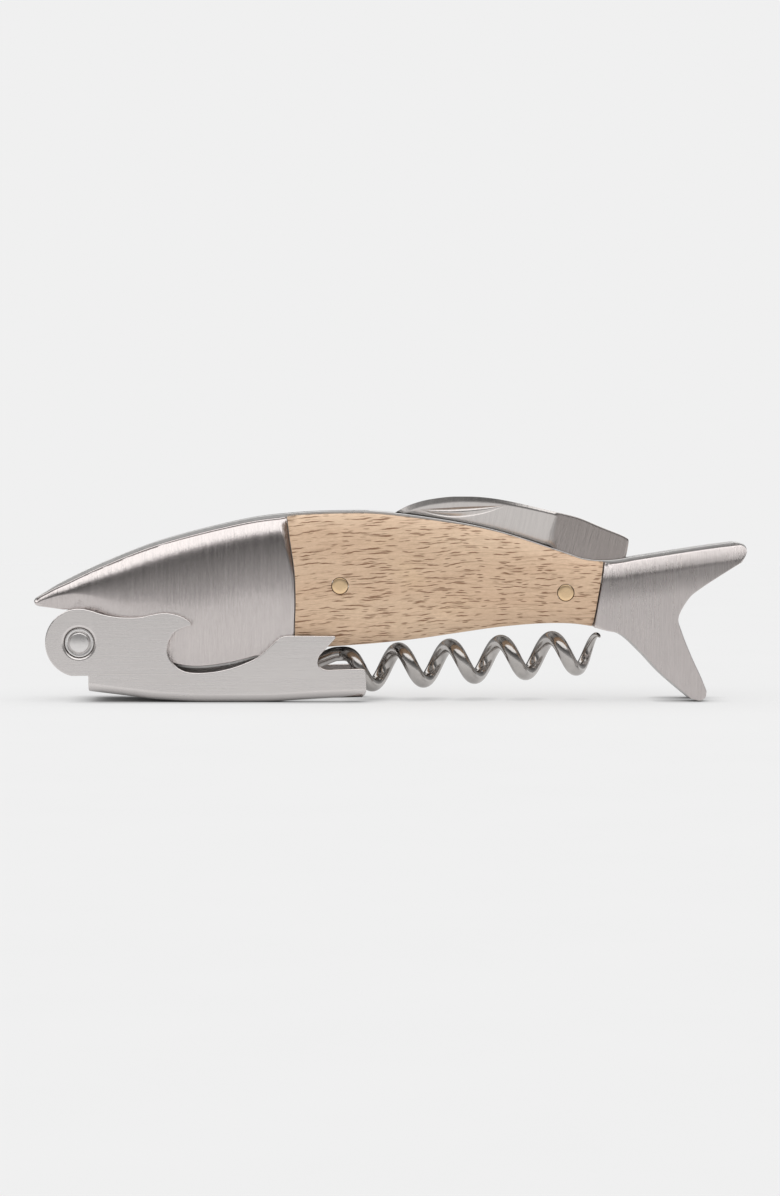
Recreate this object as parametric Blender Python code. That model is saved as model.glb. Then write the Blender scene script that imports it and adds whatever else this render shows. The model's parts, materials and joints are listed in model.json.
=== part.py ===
"""A fish-shaped waiter's corkscrew: bottle opener lever, folding worm and folding foil knife.

The object stands folded on its lever and on the lower tip of its tail, head towards -X. All lengths
are in millimetres, turned into metres by MM, +Z is up, and Y = 0 is the middle plane of the body. A
point in an outline is (x, z). An outline is a list of runs: each run is one smooth curve, and two runs
meet in a corner.
"""

import math

import bmesh
import bpy
from mathutils import Matrix, Vector

MM = 0.001

# Layers, as distances from the middle plane
CORE_HALF = 1.40          # spacer and springs between the liners
BLADE_HALF = 1.10
EYE_HALF = 1.20           # the worm's eye
LINER_INNER = 1.50
LINER_OUTER = 2.50
PLATE_BASE = 2.62         # where bolsters and scales start
LUG_FACE = 4.60           # flat faces round the lever's pivot
WASHER_INNER = 4.85
WASHER_OUTER = 5.40
DIMPLE_INNER = 5.65       # the dimpled part of the lever's ears
DIMPLE_OUTER = 6.85
EAR_INNER = 6.50
EAR_OUTER = 7.70
RIVET_FLANGE = 7.10

# Pivots and pins, (x, z)
LEVER_PIVOT = (-55.66, 10.61)
WORM_PIVOT = (-17.0, 7.0)
BLADE_PIVOT = (38.7, 21.5)
HEAD_SCALE_PIN = (-9.28, 20.68)
TAIL_SCALE_PIN = (30.95, 19.45)
SNOUT_PIN = (-44.0, 19.0)
NECK_PIN = (-27.0, 21.0)
WORM_SPRING_PIN = (-31.0, 9.6)
BLADE_SPRING_PIN = (0.5, 13.9)

RIVET_R = 1.40
BRASS_R = 1.45
STEEL_PIN_R = 1.10
WORM_PIN_R = 1.20
BLADE_PIN_R = 1.50
RUNNING = 0.12            # radial room round a pin that something turns on
FIXED = 0.10              # room round a fixed pin

# Thickness of the plates above PLATE_BASE
BOLSTER_RISE = 3.70
SCALE_RISE = 3.50
SNOUT_RISE = 1.70
TAIL_RISE = 3.40
LEAST_SWELL = 0.13        # share of the rise that is left at a plate's edge
PLATE_DROP = 0.50         # how far a plate's top edge lies below the liners' edge
PIN_DEPTH = 4.50          # how far the hidden pins reach into the bolsters

# Lever
LEVER_R = 6.07
LUG_R = 4.90
DIMPLE_R = 3.50
FLANGE_R = 2.60
DOME_R = 1.83
WEB = 1.20
FOLD_R = 1.60
WEB_START = -54.05
RELIEF_START = -20.5
RELIEF_HALF = 5.0

# Worm: a right-handed helix on an axis that rises towards the tail
WIRE_R = 1.25
SHANK_START = -16.6       # where the shank leaves the eye, rising to its crest at SHANK_CREST
SHANK_CREST = -9.9
SHANK_SLOPE = 0.33
SHANK_BEND = 0.17
HELIX_R = 2.97
PITCH = 9.2
AXIS_POINT = (1.43, 6.03)
AXIS_SLOPE = 0.0737
HELIX_START = -9.6        # the wire leaves its straight shank here
HELIX_EASE = 3.2
WORM_TIP = 37.35
EYE_R = 2.55
TAPER = 7.0
LAST_TURN = 33.4          # from here to the tip the helix tightens, so that the tip lies over at its crest
TIGHTENING = 0.061

# Outlines, (x, z) in millimetres
BACK = [
    (-63.8, 18.4), (-62.9, 19.0), (-61.9, 19.6), (-59.05, 21.3), (-51.9, 24.7), (-41.2, 28.8), (-26.9, 32.4),
    (-18.0, 33.6), (-9.1, 34.0), (-1.1, 33.8), (10.5, 32.2), (19.4, 30.3), (30.1, 26.85),
    (34.6, 25.4), (39.1, 25.15), (44.4, 25.95), (55.1, 27.6), (61.2, 28.4),
]
UPPER_TIP = [(61.2, 28.4), (62.9, 28.0), (63.5, 26.7), (62.4, 24.9)]
FORK = [
    (62.4, 24.9), (58.7, 22.6), (55.1, 20.25), (52.9, 18.4), (51.1, 15.1), (51.6, 12.6),
    (53.3, 8.3), (55.1, 4.4), (56.1, 1.9),
]
LOWER_TIP = [(56.1, 1.9), (56.0, 0.6), (54.9, 0.0), (53.0, 0.5)]
TAIL_UNDER = [(53.0, 0.5), (48.0, 4.7), (44.4, 8.5), (40.9, 11.7), (38.3, 12.6), (35.9, 13.3)]
BELLY = [(35.9, 13.3), (31.9, 13.8), (26.6, 13.8), (19.4, 13.2), (12.3, 12.2), (5.2, 11.15), (-2.0, 10.35)]
THROAT = [(-24.1, 8.2), (-29.0, 7.0), (-34.25, 6.35), (-38.4, 6.7), (-43.0, 8.1)]
LINER_THROAT = [(-24.1, 7.6), (-29.0, 6.3), (-34.25, 5.65), (-38.4, 6.0), (-43.0, 7.5)]
JAW = [(-50.1, 11.9), (-56.9, 16.0), (-59.05, 16.4), (-63.1, 16.85)]
SNOUT = [(-63.1, 16.85), (-63.8, 17.1), (-64.15, 17.75), (-63.8, 18.4)]

NECK = [(-18.9, 32.95), (-18.4, 29.0), (-17.6, 23.3), (-17.4, 17.9), (-17.5, 14.4), (-17.6, 9.35)]
RUMP = [(37.9, 24.75), (37.6, 22.5), (36.8, 17.9), (36.2, 14.4), (35.9, 13.45)]
JOINT_GAP = 0.30          # between a scale and its bolsters
SIDES = 16                # of a round piece or hole

LEVER_SADDLE = [
    (-54.82, 16.62), (-53.3, 16.25), (-51.2, 15.6), (-48.9, 15.2), (-46.6, 15.1), (-44.5, 15.2),
    (-42.5, 15.65), (-40.4, 15.9), (-38.4, 15.6), (-36.75, 14.9), (-35.7, 14.1),
]
LEVER_HOOK = [
    (-35.85, 13.6), (-37.1, 13.3), (-38.6, 12.5), (-39.6, 11.1), (-40.0, 9.4), (-39.5, 7.7), (-38.3, 6.3),
    (-36.8, 5.5), (-35.0, 5.25), (-33.0, 5.3), (-30.2, 5.7), (-27.1, 6.6), (-24.0, 8.0), (-22.1, 9.6),
    (-20.4, 11.15), (-19.3, 11.75), (-17.6, 11.9),
]
LEVER_CLAW = [(-12.9, 8.3), (-13.2, 7.3), (-12.8, 6.35), (-11.7, 5.85), (-10.5, 5.85)]
LEVER_BOTTOM = [(-16.2, 0.4), (-20.5, 0.12), (-24.5, 0.0)]
LEVER_HEEL = [(-33.0, 0.0), (-36.4, 0.1), (-42.5, 0.5), (-46.6, 1.05), (-54.05, 1.95)]

BLADE_SPINE = [
    (-1.0, 32.6), (1.25, 34.0), (3.4, 35.05), (6.95, 36.0), (12.3, 36.5), (19.4, 35.95), (29.8, 33.6),
]
BLADE_EDGE = [(-1.0, 32.6), (3.0, 31.0), (10.0, 29.3), (18.0, 28.0), (29.0, 26.6)]
TANG_TOP = [(29.5, 33.68), (33.7, 32.6), (37.3, 31.1), (40.85, 29.7)]
TANG_HEEL = [(28.7, 26.65), (31.0, 26.2), (33.6, 24.6)]
NICK_TOP = [(5.0, 34.2), (12.8, 34.65), (20.6, 34.9)]
NICK_UNDER = [(20.6, 34.9), (16.4, 33.4), (11.6, 32.7), (7.6, 33.2), (5.0, 34.2)]
TANG_R = 3.20


# --- Curves ---------------------------------------------------------------------------------------


def smooth(points, steps=2):
    """A Catmull-Rom curve through the points, with `steps` pieces between each two."""
    padded = [points[0], *points, points[-1]]
    found = []
    for before, start, end, after in zip(padded, padded[1:], padded[2:], padded[3:]):
        for step in range(steps):
            t = step / steps
            weights = (-t + 2 * t**2 - t**3, 2 - 5 * t**2 + 3 * t**3, t + 4 * t**2 - 3 * t**3, t**3 - t**2)
            corners = zip(before, start, end, after)
            found.append(tuple(0.5 * sum(w * c for w, c in zip(weights, corner)) for corner in corners))
    return found + [points[-1]]


def arc(centre, radius, first, last, pieces):
    """Points on a circle from the angle `first` to `last`, in degrees, counted from +X towards +Z."""
    angles = [math.radians(first + (last - first) * i / pieces) for i in range(pieces + 1)]
    return [(centre[0] + radius * math.cos(a), centre[1] + radius * math.sin(a)) for a in angles]


def joined(*runs):
    """One closed outline from runs that follow each other, without repeated points."""
    outline = []
    for point in (p for run in runs for p in run):
        if not outline or math.dist(point, outline[-1]) > 0.01:
            outline.append(point)
    if math.dist(outline[0], outline[-1]) <= 0.01:
        outline.pop()
    return outline


def along(curve, share):
    """The point at this share of the curve's length."""
    lengths = [math.dist(a, b) for a, b in zip(curve, curve[1:])]
    left = max(0.0, min(1.0, share)) * sum(lengths)
    for length, a, b in zip(lengths, curve, curve[1:]):
        if left <= length:
            t = left / length if length else 0.0
            return (a[0] + (b[0] - a[0]) * t, a[1] + (b[1] - a[1]) * t)
        left -= length
    return curve[-1]


def distance_to(curve, point):
    """How far the point is from the curve."""
    best = math.inf
    for a, b in zip(curve, curve[1:]):
        dx, dz = b[0] - a[0], b[1] - a[1]
        t = ((point[0] - a[0]) * dx + (point[1] - a[1]) * dz) / max(dx * dx + dz * dz, 1e-9)
        t = max(0.0, min(1.0, t))
        best = min(best, math.dist(point, (a[0] + dx * t, a[1] + dz * t)))
    return best


# --- Meshes ---------------------------------------------------------------------------------------


def add_object(name, mesh, material=None):
    obj = bpy.data.objects.new(name, mesh)
    bpy.context.scene.collection.objects.link(obj)
    if material:
        mesh.materials.append(material)
        mesh.shade_smooth()
        mesh.set_sharp_from_angle(angle=math.radians(30))
    return obj


def mesh_of(name, points, faces):
    """A closed mesh with its faces pointing out, from points in millimetres."""
    mesh = bpy.data.meshes.new(name)
    mesh.from_pydata([(x * MM, y * MM, z * MM) for x, y, z in points], [], faces)
    work = bmesh.new()
    work.from_mesh(mesh)
    bmesh.ops.recalc_face_normals(work, faces=work.faces)
    if work.calc_volume(signed=True) < 0:
        bmesh.ops.reverse_faces(work, faces=work.faces)
    work.to_mesh(mesh)
    work.free()
    return mesh


def prism(name, outline, y_low, y_high, material=None):
    """The outline extruded along Y."""
    count = len(outline)
    points = [(x, y_low, z) for x, z in outline] + [(x, y_high, z) for x, z in outline]
    faces = [(i, (i + 1) % count, count + (i + 1) % count, count + i) for i in range(count)]
    faces += [tuple(range(count)), tuple(range(count, 2 * count))]
    return add_object(name, mesh_of(name, points, faces), material)


def turned(name, centre, profile, material=None, sides=SIDES):
    """A body of revolution about the Y axis through `centre`, from (y, radius) points."""
    points = []
    faces = []
    for y, radius in profile:
        points += [(x, y, z) for x, z in arc(centre, radius, 0, 360 - 360 / sides, sides - 1)]
    for ring in range(len(profile) - 1):
        for i in range(sides):
            j = (i + 1) % sides
            faces.append((ring * sides + i, ring * sides + j, (ring + 1) * sides + j, (ring + 1) * sides + i))
    faces += [tuple(range(sides)), tuple(range(len(points) - sides, len(points)))]
    return add_object(name, mesh_of(name, points, faces), material)


def plug(name, centre, radius, y_low, y_high, material=None):
    return turned(name, centre, [(y_low, radius), (y_high, radius)], material)


def combine(obj, other, operation="DIFFERENCE"):
    """A Boolean with a helper object, which stays in the scene as a wire guide."""
    other.hide_render = True
    other.display_type = "WIRE"
    modifier = obj.modifiers.new(other.name, "BOOLEAN")
    modifier.operation = operation
    modifier.solver = "EXACT"
    modifier.object = other


def drill(obj, centre, radius, y_low=-9.0, y_high=9.0):
    cutter = plug(f"drill_{obj.name}_{len(obj.modifiers)}", centre, radius, y_low, y_high)
    combine(obj, cutter)


def patch(outer, inner, start, end, columns, rows):
    """A grid of (x, z) points between four edge curves. Columns run from `start` to `end`, rows from
    `outer` to `inner`. Rows crowd towards both edges."""
    grid = []
    for i in range(columns + 1):
        u = i / columns
        column = []
        for j in range(rows + 1):
            t = 0.5 - 0.5 * math.cos(math.pi * j / rows)
            point = [0.0, 0.0]
            for k in range(2):
                corners = (
                    (1 - u) * ((1 - t) * start(0)[k] + t * start(1)[k])
                    + u * ((1 - t) * end(0)[k] + t * end(1)[k])
                )
                sides = (1 - t) * outer(u)[k] + t * inner(u)[k] + (1 - u) * start(t)[k] + u * end(t)[k]
                point[k] = sides - corners
            column.append(tuple(point))
        grid.append(column)
    return grid


def domed_plate(name, grid, rise, side, material):
    """A plate with a flat face at PLATE_BASE and a domed outer face, `rise` millimetres above it."""
    columns, rows = len(grid), len(grid[0])
    points = [(x, side * (PLATE_BASE + rise((x, z))), z) for column in grid for x, z in column]
    faces = [
        (i * rows + j, (i + 1) * rows + j, (i + 1) * rows + j + 1, i * rows + j + 1)
        for i in range(columns - 1)
        for j in range(rows - 1)
    ]
    rim = [i * rows for i in range(columns)]
    rim += [(columns - 1) * rows + j for j in range(1, rows)]
    rim += [i * rows + rows - 1 for i in range(columns - 2, -1, -1)]
    rim += [j for j in range(rows - 2, 0, -1)]
    base = len(points)
    points += [(points[k][0], side * PLATE_BASE, points[k][2]) for k in rim]
    count = len(rim)
    for i in range(count):
        j = (i + 1) % count
        faces.append((rim[i], rim[j], base + j, base + i))
    faces.append(tuple(base + i for i in range(count)))
    return add_object(name, mesh_of(name, points, faces), material)


def swell(distance, width, power=2.2):
    """How far a rounded edge has risen at this distance from the edge, from 0 to 1."""
    share = min(max(distance / width, 0.0), 1.0)
    return (1 - (1 - share) ** power) ** (1 / power)


# --- Materials ------------------------------------------------------------------------------------


def material(name, colour, metallic, roughness):
    made = bpy.data.materials.new(name)
    made.use_nodes = True
    shader = made.node_tree.nodes["Principled BSDF"]
    shader.inputs["Base Color"].default_value = (*colour, 1.0)
    shader.inputs["Metallic"].default_value = metallic
    shader.inputs["Roughness"].default_value = roughness
    made.diffuse_color = (*colour, 1.0)
    return made


# --- Body -----------------------------------------------------------------------------------------


def tab_round_worm_pivot():
    """The liners reach down round the worm's pivot, from the belly to the throat."""
    return [(-8.2, 9.85), (-11.5, 9.6), *arc(WORM_PIVOT, 2.75, 20, -200, 12), (-21.5, 8.5)]


def lug_round_lever_pivot():
    """The liners and the spacer reach down round the lever's pivot, from the throat to the jaw."""
    return [(-48.8, 7.4), *arc(LEVER_PIVOT, LUG_R, -50, -235, 16), (-57.9, 16.25)]


def liner(name, side, steel):
    outline = joined(
        smooth(BACK), smooth(UPPER_TIP), smooth(FORK), smooth(LOWER_TIP), smooth(TAIL_UNDER), smooth(BELLY),
        tab_round_worm_pivot(), smooth(LINER_THROAT), lug_round_lever_pivot(), smooth(SNOUT),
    )
    plate = prism(name, outline, *sorted((side * LINER_INNER, side * LINER_OUTER)), steel)
    for centre, radius in (
        (LEVER_PIVOT, RIVET_R), (WORM_PIVOT, WORM_PIN_R), (BLADE_PIVOT, BLADE_PIN_R),
        (HEAD_SCALE_PIN, BRASS_R), (TAIL_SCALE_PIN, BRASS_R), (SNOUT_PIN, STEEL_PIN_R),
        (NECK_PIN, STEEL_PIN_R), (WORM_SPRING_PIN, STEEL_PIN_R), (BLADE_SPRING_PIN, STEEL_PIN_R),
    ):
        drill(plate, centre, radius + FIXED)
    return plate


def head_spacer(steel):
    """Fills the head between the liners, above the worm spring, and ends where the blade begins."""
    back = [p for p in smooth(BACK) if p[0] < -4.0]
    rear = [(-3.6, 33.85), (-3.4, 30.0), (-4.6, 26.0), (-5.4, 17.6), (-8.0, 15.0)]
    roof = [(-8.0, 15.0), (-14.0, 13.2), (-20.0, 12.9), (-35.2, 12.6)]
    step = [(-35.2, 12.6), (-35.2, 5.85)]
    throat = [p for p in smooth(LINER_THROAT) if p[0] < -36.0]
    outline = joined(back, smooth(rear), roof, step, throat, lug_round_lever_pivot(), smooth(SNOUT))
    spacer = prism("head_spacer", outline, -CORE_HALF, CORE_HALF, steel)
    for centre, radius in (
        (LEVER_PIVOT, RIVET_R), (HEAD_SCALE_PIN, BRASS_R), (SNOUT_PIN, STEEL_PIN_R), (NECK_PIN, STEEL_PIN_R),
    ):
        drill(spacer, centre, radius + FIXED)
    return spacer


def head_bolster_rise(point):
    slim = min(max((point[0] + 64.15) / 30.0, 0.0), 1.0)
    full = SNOUT_RISE + (BOLSTER_RISE - SNOUT_RISE) * math.sin(0.5 * math.pi * slim)
    over = distance_to(smooth(BACK), point)
    under = distance_to(smooth(THROAT + JAW), point)
    return full * max(swell(over, 9.0) * swell(under, 1.6), LEAST_SWELL)


def head_bolster(name, side, steel):
    crown = [(x, z - PLATE_DROP) for x, z in smooth(BACK) if x < -19.4] + [NECK[0]]
    under = smooth([(-63.1, 17.0)] + JAW[-2::-1] + THROAT[::-1] + [NECK[-1]])
    snout = [crown[0], (-63.9, 17.5), under[0]]
    neck = smooth(NECK)
    grid = patch(
        lambda u: along(crown, u), lambda u: along(under, u),
        lambda t: along(snout, t), lambda t: along(neck, t), 16, 8,
    )
    bolster = domed_plate(name, grid, head_bolster_rise, side, steel)
    tongue = joined(
        [(-47.0, 9.7)], arc(LEVER_PIVOT, LUG_R, -50, -235, 16), [(-57.9, 16.3), (-56.0, 18.0), (-47.0, 16.0)],
    )
    lug = prism(f"{name}_lug", tongue, *sorted((side * PLATE_BASE, side * LUG_FACE)))
    combine(bolster, lug, "UNION")
    room = plug(f"{name}_room", LEVER_PIVOT, LUG_R + 0.05, *sorted((side * LUG_FACE, side * 9.0)))
    combine(bolster, room)
    drill(bolster, LEVER_PIVOT, RIVET_R + FIXED)
    for centre in (SNOUT_PIN, NECK_PIN):
        drill(bolster, centre, STEEL_PIN_R + FIXED, *sorted((0.0, side * (PIN_DEPTH + 0.2))))
    return bolster


def scale_rise(point):
    over = distance_to(smooth(BACK), point) - PLATE_DROP
    under = distance_to(smooth(BELLY + [(-17.6, 9.35)]), point)
    return SCALE_RISE * max(swell(over, 6.0) * swell(under + 0.3, 4.0), LEAST_SWELL)


def wood_scale(name, side, wood):
    neck = [(x + JOINT_GAP, z) for x, z in smooth(NECK)]
    rump = [(x - JOINT_GAP, z) for x, z in smooth(RUMP)]
    crown = [neck[0]] + [(x, z - PLATE_DROP) for x, z in smooth(BACK) if -18.0 < x < 37.0] + [rump[0]]
    belly = [(x, z + 0.12) for x, z in smooth(BELLY + [(-8.2, 9.85)])[::-1] if x < 35.0]
    under = [neck[-1]] + belly + [rump[-1]]
    grid = patch(
        lambda u: along(crown, u), lambda u: along(under, u),
        lambda t: along(neck, t), lambda t: along(rump, t), 16, 8,
    )
    scale = domed_plate(name, grid, scale_rise, side, wood)
    for centre in (HEAD_SCALE_PIN, TAIL_SCALE_PIN):
        drill(scale, centre, BRASS_R + FIXED)
    return scale


def tail_bolster_rise(point):
    over = distance_to(smooth(BACK) + smooth(UPPER_TIP), point)
    under = distance_to(smooth(LOWER_TIP) + smooth(TAIL_UNDER), point)
    fork = distance_to(smooth(FORK), point)
    return TAIL_RISE * max(swell(over, 7.0) * swell(under, 5.0) * swell(fork, 3.5), LEAST_SWELL)


def tail_bolster(name, side, steel):
    """One strip bent round the fork: its columns run from the upper tip to the lower one."""
    rump = smooth(RUMP)
    over = [rump[0]] + [(x, z - 0.4) for x, z in smooth(BACK) if x > 38.3] + [(61.5, 28.0)]
    under = [(53.3, 0.6)] + [p for p in smooth(TAIL_UNDER) if p[0] < 52.5] + [rump[-1]]
    fork = smooth(FORK)
    upper_tip = [(61.5, 28.0), (62.7, 27.7), (63.2, 26.7), (62.4, 24.9)]
    lower_tip = [(53.3, 0.6), (54.9, 0.2), (55.9, 0.8), (56.1, 1.9)]

    def outer(u):
        if u < 0.4:
            return along(over[::-1], u / 0.4)
        if u < 0.6:
            return along(rump, (u - 0.4) / 0.2)
        return along(under[::-1], (u - 0.6) / 0.4)

    def inner(u):
        """The columns fan out from a short stretch at the bottom of the fork."""
        if u < 0.4:
            return along(fork, 0.36 * u / 0.4)
        if u < 0.6:
            return along(fork, 0.36 + 0.26 * (u - 0.4) / 0.2)
        return along(fork, 0.62 + 0.38 * (u - 0.6) / 0.4)

    grid = patch(outer, inner, lambda t: along(upper_tip, t), lambda t: along(lower_tip, t), 26, 7)
    bolster = domed_plate(name, grid, tail_bolster_rise, side, steel)
    drill(bolster, BLADE_PIVOT, BLADE_PIN_R + FIXED, *sorted((0.0, side * (PIN_DEPTH + 0.2))))
    return bolster


# --- Springs, pins and rivet ----------------------------------------------------------------------


def worm_spring(steel):
    """A leaf above the worm's eye, fixed by its pin at the head end."""
    under = smooth([
        (-34.7, 6.75), (-31.0, 7.0), (-27.0, 7.9), (-23.5, 9.2), (-20.5, 9.95), (-17.0, 10.0), (-12.6, 10.3),
    ])
    top = smooth([(-12.6, 11.4), (-17.0, 12.0), (-22.0, 12.2), (-34.7, 12.2)])
    leaf = prism("worm_spring", joined(under, top), -CORE_HALF, CORE_HALF, steel)
    drill(leaf, WORM_SPRING_PIN, STEEL_PIN_R + FIXED)
    return leaf


def blade_spring(steel):
    """A leaf along the belly. Its tip lies under the tang, and its end stops the open blade."""
    belly = [(x, z + 0.15) for x, z in smooth(BELLY[::-1]) if 34.4 > x]
    tip = [(34.5, 14.3), (35.15, 17.35), (35.7, 18.9), *arc(BLADE_PIVOT, TANG_R + 0.3, 218, 198, 3)]
    top = smooth([
        (34.3, 19.7), (33.2, 17.6), (30.5, 17.1), (24.0, 17.0), (10.0, 16.2), (-1.0, 15.6), (-3.0, 14.4),
    ])
    leaf = prism("blade_spring", joined(belly, tip, top, [(-3.0, 11.2)]), -CORE_HALF, CORE_HALF, steel)
    drill(leaf, BLADE_SPRING_PIN, STEEL_PIN_R + FIXED)
    return leaf


def lever_rivet(steel):
    """A through rivet: a flange and a dome at each end, outside the dimpled ears."""
    half = [
        (DIMPLE_OUTER + 0.12, RIVET_R), (DIMPLE_OUTER + 0.12, FLANGE_R), (RIVET_FLANGE, FLANGE_R),
        (RIVET_FLANGE + 0.05, DOME_R), (RIVET_FLANGE + 0.36, DOME_R * 0.86),
        (RIVET_FLANGE + 0.53, DOME_R * 0.55), (EAR_OUTER, DOME_R * 0.18),
    ]
    profile = [(-y, r) for y, r in half[::-1]] + half
    return turned("lever_rivet", LEVER_PIVOT, profile, steel)


def pins(steel, brass):
    for name, centre, radius, reach, metal in (
        ("brass_pin_head", HEAD_SCALE_PIN, BRASS_R, PLATE_BASE + SCALE_RISE, brass),
        ("brass_pin_tail", TAIL_SCALE_PIN, BRASS_R, PLATE_BASE + SCALE_RISE * 0.97, brass),
        ("head_bolster_pin_snout", SNOUT_PIN, STEEL_PIN_R, PIN_DEPTH, steel),
        ("head_bolster_pin_neck", NECK_PIN, STEEL_PIN_R, PIN_DEPTH, steel),
        ("worm_spring_pin", WORM_SPRING_PIN, STEEL_PIN_R, LINER_OUTER, steel),
        ("blade_spring_pin", BLADE_SPRING_PIN, STEEL_PIN_R, LINER_OUTER, steel),
        ("blade_pivot_pin", BLADE_PIVOT, BLADE_PIN_R, PIN_DEPTH, steel),
    ):
        plug(name, centre, radius, -reach, reach, metal)
    head = [(-3.0, 1.2), (-2.9, 1.6), (-2.62, 1.6), (-2.62, WORM_PIN_R)]
    turned("worm_pivot_pin", WORM_PIVOT, head + [(-y, r) for y, r in head[::-1]], steel)


def washer(name, side, steel):
    ring = plug(name, LEVER_PIVOT, 3.4, *sorted((side * WASHER_INNER, side * WASHER_OUTER)), steel)
    drill(ring, LEVER_PIVOT, RIVET_R + FIXED)
    return ring


# --- Moving pieces --------------------------------------------------------------------------------


def lever_bottom_z(x):
    """Height of the lever's underside at this x."""
    run = [(-4.0, 0.95), (-10.5, 0.7)] + smooth(LEVER_BOTTOM) + smooth(LEVER_HEEL) + [(-64.0, 2.6)]
    for a, b in zip(run, run[1:]):
        if a[0] >= x >= b[0]:
            return a[1] + (b[1] - a[1]) * (x - a[0]) / (b[0] - a[0])
    return run[0][1]


def trough(name, half, radius, lift, x_values, top):
    """A solid bar with the lever's curved underside, raised by `lift`, and rounded lower edges."""
    ring = [(-half, top), *((-half + radius - radius * math.cos(a), radius - radius * math.sin(a))
            for a in (math.radians(22.5 * i) for i in range(5)))]
    ring = ring + [(-y, z) for y, z in ring[::-1]]
    points = []
    for x in x_values:
        low = lever_bottom_z(x) + lift
        points += [(x, y, z if z == top else low + z) for y, z in ring]
    count = len(ring)
    faces = [
        (i * count + j, i * count + (j + 1) % count, (i + 1) * count + (j + 1) % count, (i + 1) * count + j)
        for i in range(len(x_values) - 1)
        for j in range(count)
    ]
    faces += [tuple(range(count)), tuple(range(len(points) - count, len(points)))]
    return add_object(name, mesh_of(name, points, faces))


def lever(steel):
    """One folded sheet: an ear on each side, a web underneath, a hook and a claw in both ears."""
    round_end = arc(LEVER_PIVOT, LEVER_R, 257, 82, 18)
    claw_tip = [(-10.2, 11.85), (-9.95, 11.55)]
    end = [(-5.4, 6.0), (-4.8, 5.8), (-4.6, 5.3), (-4.6, 1.9), (-4.9, 1.2), (-5.4, 0.9), (-5.6, -2.0)]
    outline = joined(
        round_end, smooth(LEVER_SADDLE), smooth(LEVER_HOOK), claw_tip, smooth(LEVER_CLAW), end,
        [(WEB_START, -2.0), (WEB_START, 4.75)],
    )
    blank = prism("lever", outline, -EAR_OUTER - 1.0, EAR_OUTER + 1.0, steel)
    stations = sorted({-63.0, -4.0, -10.5, *(x for x, _ in smooth(LEVER_BOTTOM) + smooth(LEVER_HEEL))})
    combine(blank, trough("lever_outer", EAR_OUTER, FOLD_R, 0.0, stations, 20.0), "INTERSECT")
    combine(blank, trough("lever_inner", EAR_INNER, 0.5, WEB, [-64.0, *stations, -3.0], 25.0))
    relief = joined(
        [(0.0, RELIEF_HALF), (RELIEF_START + 3.0, RELIEF_HALF)],
        arc((RELIEF_START + 3.0, RELIEF_HALF - 3.0), 3.0, 90, 180, 6),
        arc((RELIEF_START + 3.0, 3.0 - RELIEF_HALF), 3.0, 180, 270, 6),
        [(0.0, -RELIEF_HALF)],
    )
    slot = prism("lever_relief", relief, -3.0, 3.0)
    slot.data.transform(Matrix.Rotation(math.radians(90), 4, "X"))
    combine(blank, slot)
    for side in (-1, 1):
        boss = [(side * DIMPLE_INNER, DIMPLE_R - 0.3), (side * (EAR_INNER + 0.3), DIMPLE_R + 0.5)]
        dish = [(side * DIMPLE_OUTER, DIMPLE_R - 0.8), (side * (EAR_OUTER + 0.2), DIMPLE_R + 0.2)]
        combine(blank, turned(f"lever_boss_{side}", LEVER_PIVOT, boss), "UNION")
        combine(blank, turned(f"lever_dish_{side}", LEVER_PIVOT, dish))
    drill(blank, LEVER_PIVOT, RIVET_R + RUNNING)
    return blank


def worm_path():
    """Centres and radii of the wire: out of the eye, along the shank, round the helix to the tip."""
    def phase(x):
        late = x - HELIX_START
        if late <= 0:
            return 0.0
        eased = late**2 / (2 * HELIX_EASE) if late < HELIX_EASE else late - HELIX_EASE / 2
        return 2 * math.pi * eased / PITCH + TIGHTENING * max(x - LAST_TURN, 0.0) ** 2

    def shank_drop(x):
        behind = max(SHANK_CREST - x, 0.0)
        bend = min(behind, SHANK_SLOPE / (2 * SHANK_BEND))
        return SHANK_BEND * bend**2 + SHANK_SLOPE * (behind - bend)

    path = []
    x = SHANK_START
    while x < WORM_TIP:
        axis_z = AXIS_POINT[1] + AXIS_SLOPE * (x - AXIS_POINT[0])
        turn = phase(x)
        path.append((x, -HELIX_R * math.sin(turn), axis_z + HELIX_R * math.cos(turn) - shank_drop(x)))
        x += 1.0 if x < HELIX_START - 1.0 else PITCH / 20
    radii = [WIRE_R * min(1.0, 0.12 + 1.1 * math.sqrt(max(WORM_TIP - p[0], 0.0) / TAPER)) for p in path]
    return [Vector(p) for p in path], radii


def worm(steel):
    """Round wire swept along its path, joined to the eye that turns on the worm's pivot."""
    path, radii = worm_path()
    sides = 8
    points = []
    across = Vector((0.0, 1.0, 0.0))
    for i, centre in enumerate(path):
        ahead = (path[min(i + 1, len(path) - 1)] - path[max(i - 1, 0)]).normalized()
        across = (across - ahead * across.dot(ahead)).normalized()
        up = ahead.cross(across)
        for k in range(sides):
            angle = 2 * math.pi * (k + 0.5) / sides
            spot = centre + (across * math.cos(angle) + up * math.sin(angle)) * radii[i]
            points.append(tuple(spot))
    faces = [
        (i * sides + k, i * sides + (k + 1) % sides, (i + 1) * sides + (k + 1) % sides, (i + 1) * sides + k)
        for i in range(len(path) - 1)
        for k in range(sides)
    ]
    faces += [tuple(range(sides)), tuple(range(len(points) - sides, len(points)))]
    wire = add_object("worm", mesh_of("worm", points, faces), steel)
    combine(wire, plug("worm_eye", WORM_PIVOT, EYE_R, -EYE_HALF, EYE_HALF), "UNION")
    drill(wire, WORM_PIVOT, WORM_PIN_R + RUNNING, -3.0, 3.0)
    return wire


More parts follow.
